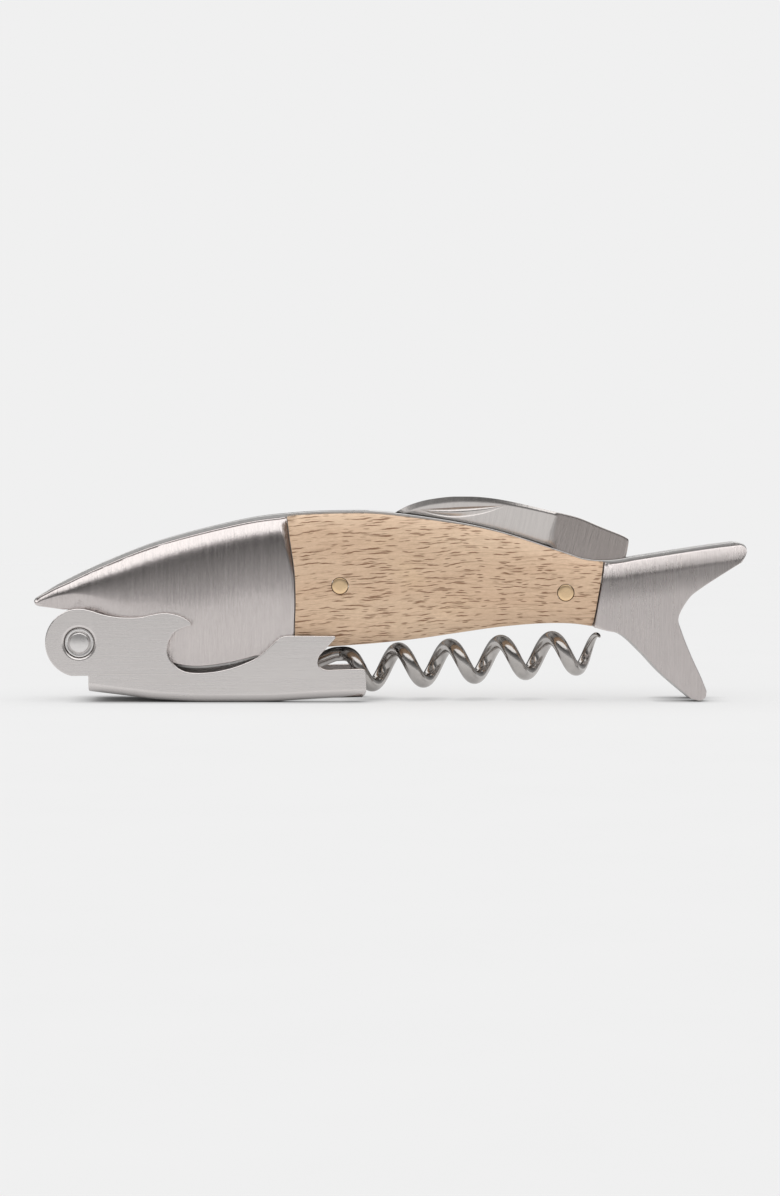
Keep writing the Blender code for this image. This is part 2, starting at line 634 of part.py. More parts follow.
def blade_half_thickness(point, spine, edge):
    """The ground flank is thickest at the spine and thin at the cutting edge."""
    to_spine, to_edge = distance_to(spine, point), distance_to(edge, point)
    return 0.12 + (BLADE_HALF - 0.27) * min(1.0, to_edge / (to_edge + to_spine + 0.01))


def blade(steel):
    """A foil knife: ground flank, full thickness tang, nail nick in the front face."""
    spine, edge = smooth(BLADE_SPINE)[1:], smooth(BLADE_EDGE)[1:]
    columns, rows = 20, 4
    grid = []
    for i in range(columns + 1):
        top, low = along(spine, i / columns), along(edge, i / columns)
        grid.append([along([top, low], j / rows) for j in range(rows + 1)])
    flat = [p for column in grid for p in column]
    halves = [blade_half_thickness(p, spine, edge) for p in flat]
    points = [(p[0], -h, p[1]) for p, h in zip(flat, halves)]
    points += [(p[0], h, p[1]) for p, h in zip(flat, halves)]
    count, high = rows + 1, len(flat)
    faces = []
    for i in range(columns):
        for j in range(rows):
            quad = (i * count + j, (i + 1) * count + j, (i + 1) * count + j + 1, i * count + j + 1)
            faces += [quad, tuple(k + high for k in quad)]
        for j in (0, rows):
            low, next_low = i * count + j, (i + 1) * count + j
            faces.append((low, next_low, next_low + high, low + high))
    for i in (0, columns):
        for j in range(rows):
            faces.append((i * count + j, i * count + j + 1, i * count + j + 1 + high, i * count + j + high))
    knife = add_object("blade", mesh_of("blade", points, faces), steel)
    tang = joined(
        smooth(TANG_TOP), [(42.2, 29.0), (42.5, 28.4), (41.85, 25.4)],
        arc(BLADE_PIVOT, TANG_R, 40, -180, 12), smooth(TANG_HEEL)[::-1],
    )
    combine(knife, prism("blade_tang", tang, -BLADE_HALF, BLADE_HALF), "UNION")
    nick = joined(smooth(NICK_TOP), smooth(NICK_UNDER))
    combine(knife, prism("blade_nick", nick, -BLADE_HALF - 1.0, -BLADE_HALF + 0.55))
    drill(knife, BLADE_PIVOT, BLADE_PIN_R + RUNNING)
    return knife


# --- Assembly -------------------------------------------------------------------------------------


def hinge(name, centre):
    """An empty on a pivot's axis. A moving piece hangs from it and keeps its place."""
    empty = bpy.data.objects.new(name, None)
    bpy.context.scene.collection.objects.link(empty)
    empty.location = (centre[0] * MM, 0.0, centre[1] * MM)
    return empty


def hang(obj, empty):
    obj.parent = empty
    obj.matrix_parent_inverse = Matrix.Translation(-empty.location)


def main():
    for obj in list(bpy.data.objects):
        bpy.data.objects.remove(obj)
    brushed = material("brushed_steel", (0.52, 0.50, 0.49), 1.0, 0.32)
    polished = material("polished_steel", (0.42, 0.41, 0.40), 1.0, 0.16)
    liner_steel = material("liner_steel", (0.55, 0.53, 0.52), 1.0, 0.35)
    wood = material("light_wood", (0.68, 0.48, 0.33), 0.0, 0.55)
    brass = material("brass", (0.80, 0.62, 0.32), 1.0, 0.30)

    for word, side in (("front", -1), ("back", 1)):
        liner(f"liner_{word}", side, liner_steel)
        head_bolster(f"head_bolster_{word}", side, brushed)
        wood_scale(f"wood_scale_{word}", side, wood)
        tail_bolster(f"tail_bolster_{word}", side, brushed)
        washer(f"lever_washer_{word}", side, liner_steel)
    head_spacer(liner_steel)
    worm_spring(liner_steel)
    blade_spring(liner_steel)
    pins(liner_steel, brass)
    lever_rivet(brushed)

    hang(lever(brushed), hinge("lever_hinge", LEVER_PIVOT))
    hang(worm(polished), hinge("worm_hinge", WORM_PIVOT))
    hang(blade(brushed), hinge("blade_hinge", BLADE_PIVOT))


main()
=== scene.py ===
"""Looks for a fish-shaped waiter's corkscrew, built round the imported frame.

Every visible piece is rebuilt at a finer grain than its CAD node: domed bolsters, a folded sheet lever,
a ground blade, a drawn wire worm and wood scales, each with its own procedural material. Lengths are in
millimetres until a mesh is made, +X runs from head to tail, and the camera looks along +Y. Pivots, pins
and layers are read from the frame. Outlines are the design's own: an outline is a list of runs, each
one smooth curve, and two runs meet in a corner.
"""

import json
import math

import bmesh
import bpy
import numpy as np
from mathutils import Matrix, Vector


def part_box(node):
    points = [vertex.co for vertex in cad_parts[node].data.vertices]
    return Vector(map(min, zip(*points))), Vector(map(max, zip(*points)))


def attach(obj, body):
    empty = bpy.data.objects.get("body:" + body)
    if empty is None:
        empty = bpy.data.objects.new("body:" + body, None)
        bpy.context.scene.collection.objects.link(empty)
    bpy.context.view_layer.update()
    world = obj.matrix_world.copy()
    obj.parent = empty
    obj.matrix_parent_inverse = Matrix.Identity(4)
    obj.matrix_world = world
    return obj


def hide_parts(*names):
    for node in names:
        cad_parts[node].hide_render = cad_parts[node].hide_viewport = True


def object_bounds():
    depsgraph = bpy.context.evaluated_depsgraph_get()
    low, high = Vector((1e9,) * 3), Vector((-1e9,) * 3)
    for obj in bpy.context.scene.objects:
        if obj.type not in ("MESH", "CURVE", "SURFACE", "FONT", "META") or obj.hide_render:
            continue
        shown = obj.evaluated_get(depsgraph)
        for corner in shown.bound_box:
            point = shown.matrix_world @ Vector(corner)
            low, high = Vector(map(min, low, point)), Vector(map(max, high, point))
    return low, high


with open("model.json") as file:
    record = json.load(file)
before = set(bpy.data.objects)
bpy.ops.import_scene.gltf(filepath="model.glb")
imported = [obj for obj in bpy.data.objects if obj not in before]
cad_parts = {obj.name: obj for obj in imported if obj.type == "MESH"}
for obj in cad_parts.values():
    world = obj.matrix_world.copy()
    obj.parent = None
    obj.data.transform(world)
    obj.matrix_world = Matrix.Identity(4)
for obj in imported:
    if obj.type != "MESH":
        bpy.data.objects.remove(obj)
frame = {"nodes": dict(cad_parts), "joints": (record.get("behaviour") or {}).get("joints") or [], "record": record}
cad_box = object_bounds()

MM = 0.001
RECORD = frame["record"]
BODY_OF = {node: body for body, nodes in RECORD["behaviour"]["bodies"].items() for node in nodes}
SLOT_OF = {part["node"]: part["material_slot"] for part in RECORD["subparts"]}
JOINT_AT = {joint["child"]: [value / MM for value in joint["pos_m"]] for joint in frame["joints"]}


def centre_of(node):
    """(x, z) of the middle of a CAD node, in millimetres."""
    low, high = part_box(node)
    return ((low.x + high.x) / 2 / MM, (low.z + high.z) / 2 / MM)


def radius_of(node):
    low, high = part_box(node)
    return (high.x - low.x) / 2 / MM


def layer_of(node):
    """(nearest, farthest) distance of a CAD node from the middle plane, in millimetres."""
    low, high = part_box(node)
    inner, outer = sorted((abs(low.y) / MM, abs(high.y) / MM))
    return (inner, outer) if low.y * high.y > 0 else (0.0, outer)


# Places from the frame
LEVER_PIVOT = (JOINT_AT["lever"][0], JOINT_AT["lever"][2])
WORM_PIVOT = (JOINT_AT["worm"][0], JOINT_AT["worm"][2])
BLADE_PIVOT = (JOINT_AT["blade"][0], JOINT_AT["blade"][2])
HEAD_SCALE_PIN = centre_of("brass_pin_head")
TAIL_SCALE_PIN = centre_of("brass_pin_tail")
SNOUT_PIN = centre_of("head_bolster_pin_snout")
NECK_PIN = centre_of("head_bolster_pin_neck")
WORM_SPRING_PIN = centre_of("worm_spring_pin")
BLADE_SPRING_PIN = centre_of("blade_spring_pin")
LINER_INNER, LINER_OUTER = layer_of("liner_front")
PLATE_BASE = layer_of("wood_scale_front")[0]
WASHER_INNER, WASHER_OUTER = layer_of("lever_washer_front")
CORE_HALF = layer_of("head_spacer")[1]
BLADE_HALF = layer_of("blade")[1]
EYE_HALF = 1.20           # half the thickness of the worm's eye
EAR_OUTER = layer_of("lever")[1]
BRASS_R = radius_of("brass_pin_head")
STEEL_PIN_R = radius_of("worm_spring_pin")
BLADE_PIN_R = radius_of("blade_pivot_pin")
WASHER_R = radius_of("lever_washer_front")
FLANGE_R = radius_of("lever_rivet")
PIN_DEPTH = layer_of("blade_pivot_pin")[1]

# Sheet thicknesses, radii and rooms
SHEET = 1.20
EAR_INNER = EAR_OUTER - SHEET
LUG_FACE = 4.60           # how far the head's lug reaches from the middle plane
LUG_R = 4.90
LEVER_R = 6.07            # of the ears round the lever's pivot
RIVET_R = 1.40
WORM_PIN_R = 1.20
ROOM = 0.10               # round a pin that nothing turns on
RUNNING = 0.12            # round a pin that something turns on
EDGE = 0.14               # rounding of a cut sheet edge
LEVER_EDGE = 0.20
BOLSTER_RISE = 3.70       # height of the head bolster's face above the liner, at the neck
SNOUT_RISE = 1.70         # and at the nose
BOLSTER_WALL = 0.70       # height of a bolster's edge, before its dome starts
LIP = 0.34                # width of the flat lip along the head bolster's top edge
HEAD_DROP = 0.68          # how far the head bolster's top edge lies below the liners' edge
NOSE_DROP = 0.15          # the same at the nose
SCALE_RISE = 3.50
TAIL_RISE = 3.40
PLATE_DROP = 0.50         # how far the wood's top edge lies below the liners' edge
TAIL_DROP = 0.58          # how far the tail bolster's top edge lies below the liners' edge
JOINT_GAP = 0.20          # between the wood and the bolsters
HEAD_ROUNDINGS = (0.18, 0.14, 0.30)                # underneath, on top, at the nose
TAIL_ROUNDINGS = (0.25, 0.10, 0.18, 0.12, 0.3)     # underneath, fork, rump, on top, upper tip

# Worm: a right-handed helix on an axis that rises towards the tail
WIRE_R = 1.30
SHANK_START = -16.6       # where the shank leaves the eye, rising to its crest at SHANK_CREST
SHANK_CREST = -9.9
SHANK_SLOPE = 0.33
SHANK_BEND = 0.17
HELIX_R = 2.97
PITCH = 9.2
AXIS_POINT = (1.43, 6.03)
AXIS_SLOPE = 0.0737
HELIX_START = -9.6
HELIX_EASE = 3.2
WORM_TIP = 37.35
EYE_R = 2.55
TAPER = 7.0
LAST_TURN = 33.4          # from here to the tip the helix tightens, so that the tip lies over at its crest
TIGHTENING = 0.061

# Camera, from the middle of the object's footprint
CAMERA_AIM = (-0.36, -5.0, 18.48)
CAMERA_DISTANCE = 650.0
CAMERA_ELEVATION = 2.7
VIEW_HEIGHT = 213.4       # height of the picture at the object
SENSOR = 36.0

# Light from the room, (elevation in degrees, level): a dim wall up to the edge of a soft box overhead
SKY = [(0, 0.32), (6, 0.24), (14, 0.15), (24, 0.08), (33, 0.06), (38, 1.0), (90, 1.0)]
SKY_STRENGTH = 1.5
BACKDROP = 0.871          # what the camera sees behind the object
FILL_STRENGTH = 0.62
FLOOR_RADIUS = 0.66       # in metres
# The floor's glow is painted light, and its dimming under the object is a painted shadow
FLOOR_PAINTED_GLOW = 0.557
FLOOR_PAINTED_SHADOW_REACH = 5.0         # how near something has to stand to cast the floor's painted shadow

# Outlines, (x, z)
BACK = [
    (-63.8, 18.4), (-62.9, 19.0), (-61.9, 19.6), (-59.05, 21.3), (-51.9, 24.7), (-41.2, 28.8), (-26.9, 32.4),
    (-18.0, 33.6), (-9.1, 34.0), (-1.1, 33.8), (10.5, 32.2), (19.4, 30.3), (30.1, 26.85),
    (34.6, 25.4), (39.1, 25.15), (44.4, 25.95), (55.1, 27.6), (61.2, 28.4),
]
UPPER_TIP = [(61.2, 28.4), (62.9, 28.0), (63.5, 26.7), (62.4, 24.9)]
FORK = [
    (62.4, 24.9), (58.7, 22.6), (55.1, 20.25), (52.9, 18.4), (51.1, 15.1), (51.6, 12.6),
    (53.3, 8.3), (55.1, 4.4), (56.1, 1.9),
]
LOWER_TIP = [(56.1, 1.9), (56.0, 0.6), (54.9, 0.0), (53.0, 0.5)]
TAIL_UNDER = [(53.0, 0.5), (48.0, 4.7), (44.4, 8.5), (40.9, 11.7), (38.3, 12.6), (35.9, 13.3)]
BELLY = [(35.9, 13.3), (31.9, 13.8), (26.6, 13.8), (19.4, 13.2), (12.3, 12.2), (5.2, 11.15), (-2.0, 10.35)]
THROAT = [(-24.1, 8.2), (-29.0, 7.0), (-34.25, 6.35), (-38.4, 6.7), (-43.0, 8.1)]
LINER_THROAT = [(-24.1, 7.6), (-29.0, 6.3), (-34.25, 5.65), (-38.4, 6.0), (-43.0, 7.5)]
JAW = [(-50.1, 11.9), (-56.9, 16.0), (-59.05, 16.4), (-63.1, 16.85)]
SNOUT = [(-63.1, 16.85), (-63.8, 17.1), (-64.15, 17.75), (-63.8, 18.4)]
NOSE = [(-63.65, 18.25), (-63.98, 17.75), (-63.7, 17.2), (-63.1, 16.97)]
NECK = [(-18.9, 32.95), (-18.4, 29.0), (-17.6, 23.3), (-17.4, 17.9), (-17.5, 14.4), (-17.6, 9.35)]
RUMP = [(37.9, 24.85), (37.6, 22.5), (36.8, 17.9), (36.2, 14.4), (35.9, 13.45)]
LEVER_SADDLE = [
    (-54.82, 16.62), (-53.3, 16.25), (-51.2, 15.6), (-48.9, 15.2), (-46.6, 15.1), (-44.5, 15.2),
    (-42.5, 15.65), (-40.4, 15.9), (-38.4, 15.6), (-36.75, 14.9), (-35.7, 14.1),
]
LEVER_HOOK = [
    (-35.85, 13.6), (-37.1, 13.3), (-38.6, 12.5), (-39.6, 11.1), (-40.0, 9.4), (-39.5, 7.7), (-38.3, 6.3),
    (-36.8, 5.5), (-35.0, 5.25), (-33.0, 5.3), (-30.2, 5.7), (-27.1, 6.6), (-24.0, 8.0), (-22.1, 9.6),
    (-20.4, 11.15), (-19.3, 11.75), (-17.6, 11.9),
]
LEVER_CLAW = [(-12.9, 8.3), (-13.2, 7.3), (-12.8, 6.35), (-11.7, 5.85), (-10.5, 5.85)]
LEVER_END = [(-5.4, 6.0), (-4.8, 5.8), (-4.6, 5.3)]
LEVER_END_UNDER = [(-4.6, 1.9), (-4.9, 1.2), (-5.4, 0.9)]
LEVER_BOTTOM = [(-16.2, 0.4), (-20.5, 0.12), (-24.5, 0.0)]
LEVER_HEEL = [(-33.0, 0.0), (-36.4, 0.1), (-42.5, 0.5), (-46.6, 1.05), (-54.05, 1.95)]
WEB_START = -54.05
FOLD_R = 1.60
RELIEF_START = -20.5
RELIEF_HALF = 5.0
BLADE_SPINE = [
    (-1.0, 32.6), (1.25, 34.0), (3.4, 35.05), (6.95, 36.0), (12.3, 36.5), (19.4, 35.95), (29.8, 33.6),
    (33.7, 32.6), (37.3, 31.1), (40.85, 29.7), (42.0, 29.15),
]
BLADE_EDGE = [
    (-1.0, 32.6), (3.0, 31.0), (10.0, 29.3), (18.0, 28.0), (28.7, 26.65), (31.0, 26.2), (33.6, 24.6),
    (35.5, 21.7), (38.7, 20.8),
]
BLADE_END = [
    (42.0, 29.15), (42.35, 28.85), (42.45, 28.35), (42.2, 26.8), (41.85, 25.4), (41.2, 23.7), (40.4, 22.0),
    (38.7, 20.8),
]
NICK_TOP = [(5.0, 34.2), (12.8, 34.65), (20.6, 34.9)]
NICK_UNDER = [(5.0, 34.2), (7.6, 33.2), (11.6, 32.7), (16.4, 33.4), (20.6, 34.9)]
NICK_SHARES = [0.0, 0.45, 0.83, 1.0]      # from the nick's upper edge to its lower one
NICK_DEPTHS = [0.29, 0.03, 0.08, 0.0]     # shares of its height
TANG_R = 3.20
PLUNGE_LEAN = 0.14        # of the step between flank and tang, along X for each millimetre of height

# Face of the tail bolster: its slope at these distances from the top edge
TAIL_REACHES = [0.0, 1.1, 1.8, 2.4, 3.0, 3.9, 4.6, 5.2, 5.9, 6.6, 7.3]
TAIL_SLOPES = [0.45, 0.39, 0.345, 0.31, 0.12, 0.10, 0.085, 0.06, 0.04, 0.018, 0.0]
TAIL_UPPER_TIP = [(61.5, 28.0), (62.75, 27.7), (63.25, 26.7), (62.4, 24.9)]
TAIL_LOWER_TIP = [(53.3, 0.6), (54.9, 0.2), (55.9, 0.8), (56.1, 1.9)]

# Outlines of the parts between the liners
SPACER_REAR = [(-3.6, 33.85), (-3.4, 30.0), (-4.6, 26.0), (-5.4, 17.6), (-8.0, 15.0)]
SPACER_ROOF = [(-8.0, 15.0), (-14.0, 13.2), (-20.0, 12.9), (-35.2, 12.6)]
WORM_SPRING_UNDER = [
    (-34.7, 6.75), (-31.0, 7.0), (-27.0, 7.9), (-23.5, 9.2), (-20.5, 9.95), (-17.0, 10.0), (-12.6, 10.3),
]
WORM_SPRING_TOP = [(-12.6, 11.4), (-17.0, 12.0), (-22.0, 12.2), (-34.7, 12.2)]
BLADE_SPRING_TOP = [
    (34.3, 19.7), (33.2, 17.6), (30.5, 17.1), (24.0, 17.0), (10.0, 16.2), (-1.0, 15.6), (-3.0, 14.4),
]

# Holes through the liners, {centre: radius of what goes through}
HOLES = {
    LEVER_PIVOT: RIVET_R, WORM_PIVOT: WORM_PIN_R, BLADE_PIVOT: BLADE_PIN_R,
    HEAD_SCALE_PIN: BRASS_R, TAIL_SCALE_PIN: BRASS_R, SNOUT_PIN: STEEL_PIN_R,
    NECK_PIN: STEEL_PIN_R, WORM_SPRING_PIN: STEEL_PIN_R, BLADE_SPRING_PIN: STEEL_PIN_R,
}


# --- Curves ---


def smooth(points, steps=8):
    """A Catmull-Rom curve through the points, with `steps` pieces between each two."""
    padded = [points[0], *points, points[-1]]
    found = []
    for before, start, end, after in zip(padded, padded[1:], padded[2:], padded[3:]):
        for step in range(steps):
            t = step / steps
            weights = (-t + 2 * t**2 - t**3, 2 - 5 * t**2 + 3 * t**3, t + 4 * t**2 - 3 * t**3, t**3 - t**2)
            corners = zip(before, start, end, after)
            found.append(tuple(0.5 * sum(w * c for w, c in zip(weights, corner)) for corner in corners))
    return found + [points[-1]]


def arc(centre, radius, first, last, pieces):
    """Points on a circle from the angle `first` to `last`, in degrees, counted from +X towards +Z."""
    angles = [math.radians(first + (last - first) * i / pieces) for i in range(pieces + 1)]
    return [(centre[0] + radius * math.cos(a), centre[1] + radius * math.sin(a)) for a in angles]


def joined(*runs):
    """One closed outline from runs that follow each other, without repeated points."""
    outline = []
    for point in (p for run in runs for p in run):
        if not outline or math.dist(point, outline[-1]) > 0.02:
            outline.append(point)
    if math.dist(outline[0], outline[-1]) <= 0.02:
        outline.pop()
    return outline


def spots(curve, shares):
    """Points at these shares of the curve's length."""
    points = np.array(curve, float)
    lengths = np.concatenate([[0.0], np.cumsum(np.linalg.norm(np.diff(points, axis=0), axis=1))])
    wanted = np.clip(shares, 0.0, 1.0) * lengths[-1]
    return np.stack([np.interp(wanted, lengths, points[:, k]) for k in range(2)], axis=-1)


def distance_to(curve, points):
    """How far each point is from the curve."""
    line = np.array(curve, float)
    start, run = line[:-1], np.diff(line, axis=0)
    across = points[:, None, :] - start[None]
    t = np.clip((across * run).sum(-1) / np.maximum((run * run).sum(-1), 1e-9), 0.0, 1.0)
    return np.linalg.norm(across - t[..., None] * run, axis=-1).min(axis=1)


def swell(distance, width, power=2.0):
    """How far a rounded edge has risen at this distance from the edge, from 0 to 1."""
    share = np.clip(distance / width, 0.0, 1.0)
    return (1 - (1 - share) ** power) ** (1 / power)


def rounding(distance, radius):
    """How far a rounded edge lies below its face at this distance from the edge."""
    return radius * (1 - swell(distance, radius))


def ease(value, low, high):
    """0 below `low`, 1 above `high`, and a smooth step between."""
    share = np.clip((value - low) / (high - low), 0.0, 1.0)
    return share * share * (3 - 2 * share)


def crowded(count):
    """Shares from 0 to 1 that crowd towards both ends."""
    return 0.5 - 0.5 * np.cos(np.pi * np.arange(count + 1) / count)


# --- Meshes ---


def put(name, data):
    """A new object in the scene."""
    obj = bpy.data.objects.new(name, data)
    bpy.context.scene.collection.objects.link(obj)
    return obj


def add_object(name, points, faces):
    """A mesh with its faces pointing out, from points in millimetres."""
    mesh = bpy.data.meshes.new(name)
    mesh.from_pydata([(x * MM, y * MM, z * MM) for x, y, z in points], [], faces)
    work = bmesh.new()
    work.from_mesh(mesh)
    bmesh.ops.recalc_face_normals(work, faces=work.faces)
    if work.calc_volume(signed=True) < 0:
        bmesh.ops.reverse_faces(work, faces=work.faces)
    work.to_mesh(mesh)
    work.free()
    return put(name, mesh)


def inset(outline, depth):
    """The outline moved inwards, by the normals at its points."""
    points = np.array(outline, float)
    ahead, behind = np.roll(points, -1, axis=0) - points, points - np.roll(points, 1, axis=0)
    ahead /= np.linalg.norm(ahead, axis=1)[:, None]
    behind /= np.linalg.norm(behind, axis=1)[:, None]
    tangent = ahead + behind
    tangent /= np.linalg.norm(tangent, axis=1)[:, None]
    x, z = points[:, 0], points[:, 1]
    turn = 1.0 if (x * np.roll(z, -1) - z * np.roll(x, -1)).sum() > 0 else -1.0
    inward = np.stack([-tangent[:, 1], tangent[:, 0]], axis=-1) * turn
    return points + inward * depth


def wall(near, far):
    """Faces between two closed loops of indices."""
    return list(zip(near, near[1:] + near[:1], far[1:] + far[:1], far))


def lofted(name, rings):
    """A closed body through rings of (x, y, z) points."""
    count = len(rings[0])
    points = [tuple(p) for ring in rings for p in ring]
    loops = [list(range(first, first + count)) for first in range(0, len(points), count)]
    faces = [face for near, far in zip(loops, loops[1:]) for face in wall(near, far)]
    return add_object(name, points, faces + [tuple(loops[0]), tuple(loops[-1])])


def plate(name, outline, y_low, y_high, edge=EDGE):
    """The outline extruded along Y, with rounded edges."""
    angles = [math.pi / 6 * i for i in range(4)] if edge else [math.pi / 2]
    falls = [(edge * (1 - math.sin(a)), edge * (1 - math.cos(a))) for a in angles]
    levels = [(y_low + fall, depth) for fall, depth in falls[::-1]]
    levels += [(y_high - fall, depth) for fall, depth in falls]
    return lofted(name, [[(x, y, z) for x, z in inset(outline, depth)] for y, depth in levels])


def turned(name, centre, profile, sides=64):
    """A body of revolution about the Y axis through `centre`, from (y, radius) points."""
    rings = [
        [(x, y, z) for x, z in arc(centre, radius, 0, 360 - 360 / sides, sides - 1)]
        for y, radius in profile
    ]
    return lofted(name, rings)


def span(side, inner, outer):
    """(low, high) along Y of a layer on this side of the middle plane."""
    return sorted((side * inner, side * outer))


def mirrored(half):
    """A profile and its mirror image behind the middle plane."""
    return [(-y, radius) for y, radius in half[::-1]] + half


def disc(low, high, radius, edge):
    """Profile of a disc with chamfered edges."""
    return [(low, radius - edge), (low + edge, radius), (high - edge, radius), (high, radius - edge)]


def combine(obj, other, operation="DIFFERENCE"):
    """A Boolean with a helper object, which settle() removes again."""
    modifier = obj.modifiers.new(other.name, "BOOLEAN")
    modifier.operation = operation
    modifier.solver = "EXACT"
    modifier.object = other


def drill(obj, centre, radius, y_low=-9.0, y_high=9.0, sides=48):
    combine(obj, turned(f"{obj.name}_drill", centre, [(y_low, radius), (y_high, radius)], sides))


def drill_for_pins(obj, *centres):
    """Holes with room for what stands at these places."""
    for centre in centres:
        drill(obj, centre, HOLES[centre] + ROOM)


def settle(obj):
    """Applies the object's modifiers and removes the helpers that they used."""
    helpers = [m.object for m in obj.modifiers if m.type == "BOOLEAN"]
    bpy.context.view_layer.update()
    evaluated = obj.evaluated_get(bpy.context.evaluated_depsgraph_get())
    mesh = bpy.data.meshes.new_from_object(evaluated)
    obj.modifiers.clear()
    obj.data = mesh
    for helper in helpers:
        bpy.data.objects.remove(helper)


def round_edges(obj, width):
    """Rounds what the Booleans left sharp."""
    settle(obj)
    bevel = obj.modifiers.new("edges", "BEVEL")
    bevel.width = width * MM
    bevel.segments = 3
    bevel.limit_method = "ANGLE"
    bevel.angle_limit = math.radians(35)
    bevel.miter_outer = "MITER_ARC"
    bevel.use_clamp_overlap = False
    settle(obj)


def join_flat_faces(obj):
    """Makes one face of the strips that lie in the same plane."""
    settle(obj)
    work = bmesh.new()
    work.from_mesh(obj.data)
    limit = math.radians(0.05)
    bmesh.ops.dissolve_limit(work, angle_limit=limit, verts=work.verts[:], edges=work.edges[:])
    work.to_mesh(obj.data)
    work.free()


def complete(obj, node, sharp=40):
    """Shades the piece, gives it its slot's material, and puts it in the CAD node's place."""
    if obj.modifiers:
        settle(obj)
    for vertex in obj.data.vertices:
        inside = zip(cad_box[0], vertex.co, cad_box[1])
        vertex.co = [min(max(value, low), high) for low, value, high in inside]
    obj.data.materials.clear()
    obj.data.materials.append(MATERIALS[SLOT_OF[node]])
    obj.data.shade_smooth()
    obj.data.set_sharp_from_angle(angle=math.radians(sharp))
    weighted = obj.modifiers.new("weighted", "WEIGHTED_NORMAL")
    weighted.keep_sharp = True
    weighted.weight = 60
    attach(obj, BODY_OF[node])
    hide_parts(node)
    return obj


def stretched(top, low, left, right, u, t):
    """A grid of (x, z) points between four edges, whose points lie at the shares u and t. Columns run
    from `left` to `right`, rows from `top` to `low`."""
    top, low, left, right = top[:, None], low[:, None], left[None], right[None]
    across, down = u[:, None, None], t[None, :, None]
    corners = (1 - across) * ((1 - down) * left[:, :1] + down * left[:, -1:])
    corners = corners + across * ((1 - down) * right[:, :1] + down * right[:, -1:])
    return (1 - down) * top + down * low + (1 - across) * left + across * right - corners


def patch(outer, inner, start, end, u, t):
    """A grid between four edge curves. Columns run from `start` to `end`, rows from `outer` to `inner`."""
    return stretched(spots(outer, u), spots(inner, u), spots(start, t), spots(end, t), u, t)


def rim_of(columns, rows):
    """Indices of a grid's outer points, in order."""
    k = np.arange(columns * rows).reshape(columns, rows)
    return [*k[:, 0].tolist(), *k[-1, 1:].tolist(), *k[-2::-1, -1].tolist(), *k[0, -2:0:-1].tolist()]


def grid_faces(columns, rows):
    k = np.arange(columns * rows).reshape(columns, rows)
    return np.stack([k[:-1, :-1], k[1:, :-1], k[1:, 1:], k[:-1, 1:]], axis=-1).reshape(-1, 4).tolist()


def slab(name, near, far, columns, rows):
    """A closed body between two grids of points."""
    count = columns * rows
    faces = grid_faces(columns, rows)
    faces += [tuple(k + count for k in quad) for quad in grid_faces(columns, rows)]
    rim = rim_of(columns, rows)
    return add_object(name, near + far, faces + wall(rim, [k + count for k in rim]))


def domed_plate(name, grid, rise, side):
    """A plate with a flat face at PLATE_BASE and a domed outer face, `rise` millimetres above it."""
    columns, rows = grid.shape[:2]
    flat = grid.reshape(-1, 2)
    heights = side * (PLATE_BASE + rise(flat))
    points = [(x, y, z) for (x, z), y in zip(flat, heights)]
    rim = rim_of(columns, rows)
    base = [len(points) + i for i in range(len(rim))]
    points += [(points[k][0], side * PLATE_BASE, points[k][2]) for k in rim]
    return add_object(name, points, grid_faces(columns, rows) + wall(rim, base) + [tuple(base)])


# --- Shader helpers ---


def new_material(name, colour, metallic, roughness):
    """A material with a Principled shader, and its node tree."""
    made = bpy.data.materials.new(name)
    made.use_nodes = True
    shader = made.node_tree.nodes["Principled BSDF"]
    shader.inputs["Base Color"].default_value = (*colour, 1.0)
    shader.inputs["Metallic"].default_value = metallic
    shader.inputs["Roughness"].default_value = roughness
    made.diffuse_color = (*colour, 1.0)
    return made, made.node_tree, shader


def add_node(tree, kind, inputs, **settings):
    """A shader node with its settings, and its inputs linked or set."""
    made = tree.nodes.new(f"ShaderNode{kind}")
    for name, value in settings.items():
        setattr(made, name, value)
    for name, value in inputs.items():
        if isinstance(value, bpy.types.NodeSocket):
            tree.links.new(value, made.inputs[name])
        else:
            made.inputs[name].default_value = value
    return made


def tree_of(*values):
    """The node tree of whichever of the values are sockets."""
    return next(value.id_data for value in values if isinstance(value, bpy.types.NodeSocket))


def mix_colours(factor, first, second, blend="MIX"):
    inputs = {"Factor": factor, 6: first, 7: second}
    tree = tree_of(factor, first, second)
    return add_node(tree, "Mix", inputs, data_type="RGBA", blend_type=blend).outputs[2]


def calculate(operation, first, second=0.0):
    tree = tree_of(first, second)
    return add_node(tree, "Math", {0: first, 1: second}, operation=operation).outputs[0]


def plus(first, second):
    return calculate("ADD", first, second)


def times(first, second):
    return calculate("MULTIPLY", first, second)


def axes(vector):
    """The vector's parts, by the names X, Y and Z."""
    return add_node(vector.id_data, "SeparateXYZ", {"Vector": vector}).outputs


def remap(value, low, high, to_low=0.0, to_high=1.0, smooth_step=False):
    inputs = {"Value": value, "From Min": low, "From Max": high, "To Min": to_low, "To Max": to_high}
    kind = "SMOOTHSTEP" if smooth_step else "LINEAR"
    return add_node(value.id_data, "MapRange", inputs, interpolation_type=kind).outputs[0]


def in_cells(place, cell, turn=(0.0, 0.0, 0.0)):
    """The place counted in cells of these lengths in millimetres, turned by `turn`."""
    inputs = {"Vector": place, "Scale": tuple(length * MM for length in cell), "Rotation": turn}
    return add_node(place.id_data, "Mapping", inputs, vector_type="TEXTURE").outputs[0]


def noise(place, cell, detail=3.0, roughness=0.6, turn=(0.0, 0.0, 0.0)):
    """Noise whose cells have these lengths in millimetres along x, y and z, turned by `turn`."""
    inputs = {"Vector": in_cells(place, cell, turn), "Scale": 1.0, "Detail": detail, "Roughness": roughness}
    return add_node(place.id_data, "TexNoise", inputs).outputs["Fac"]


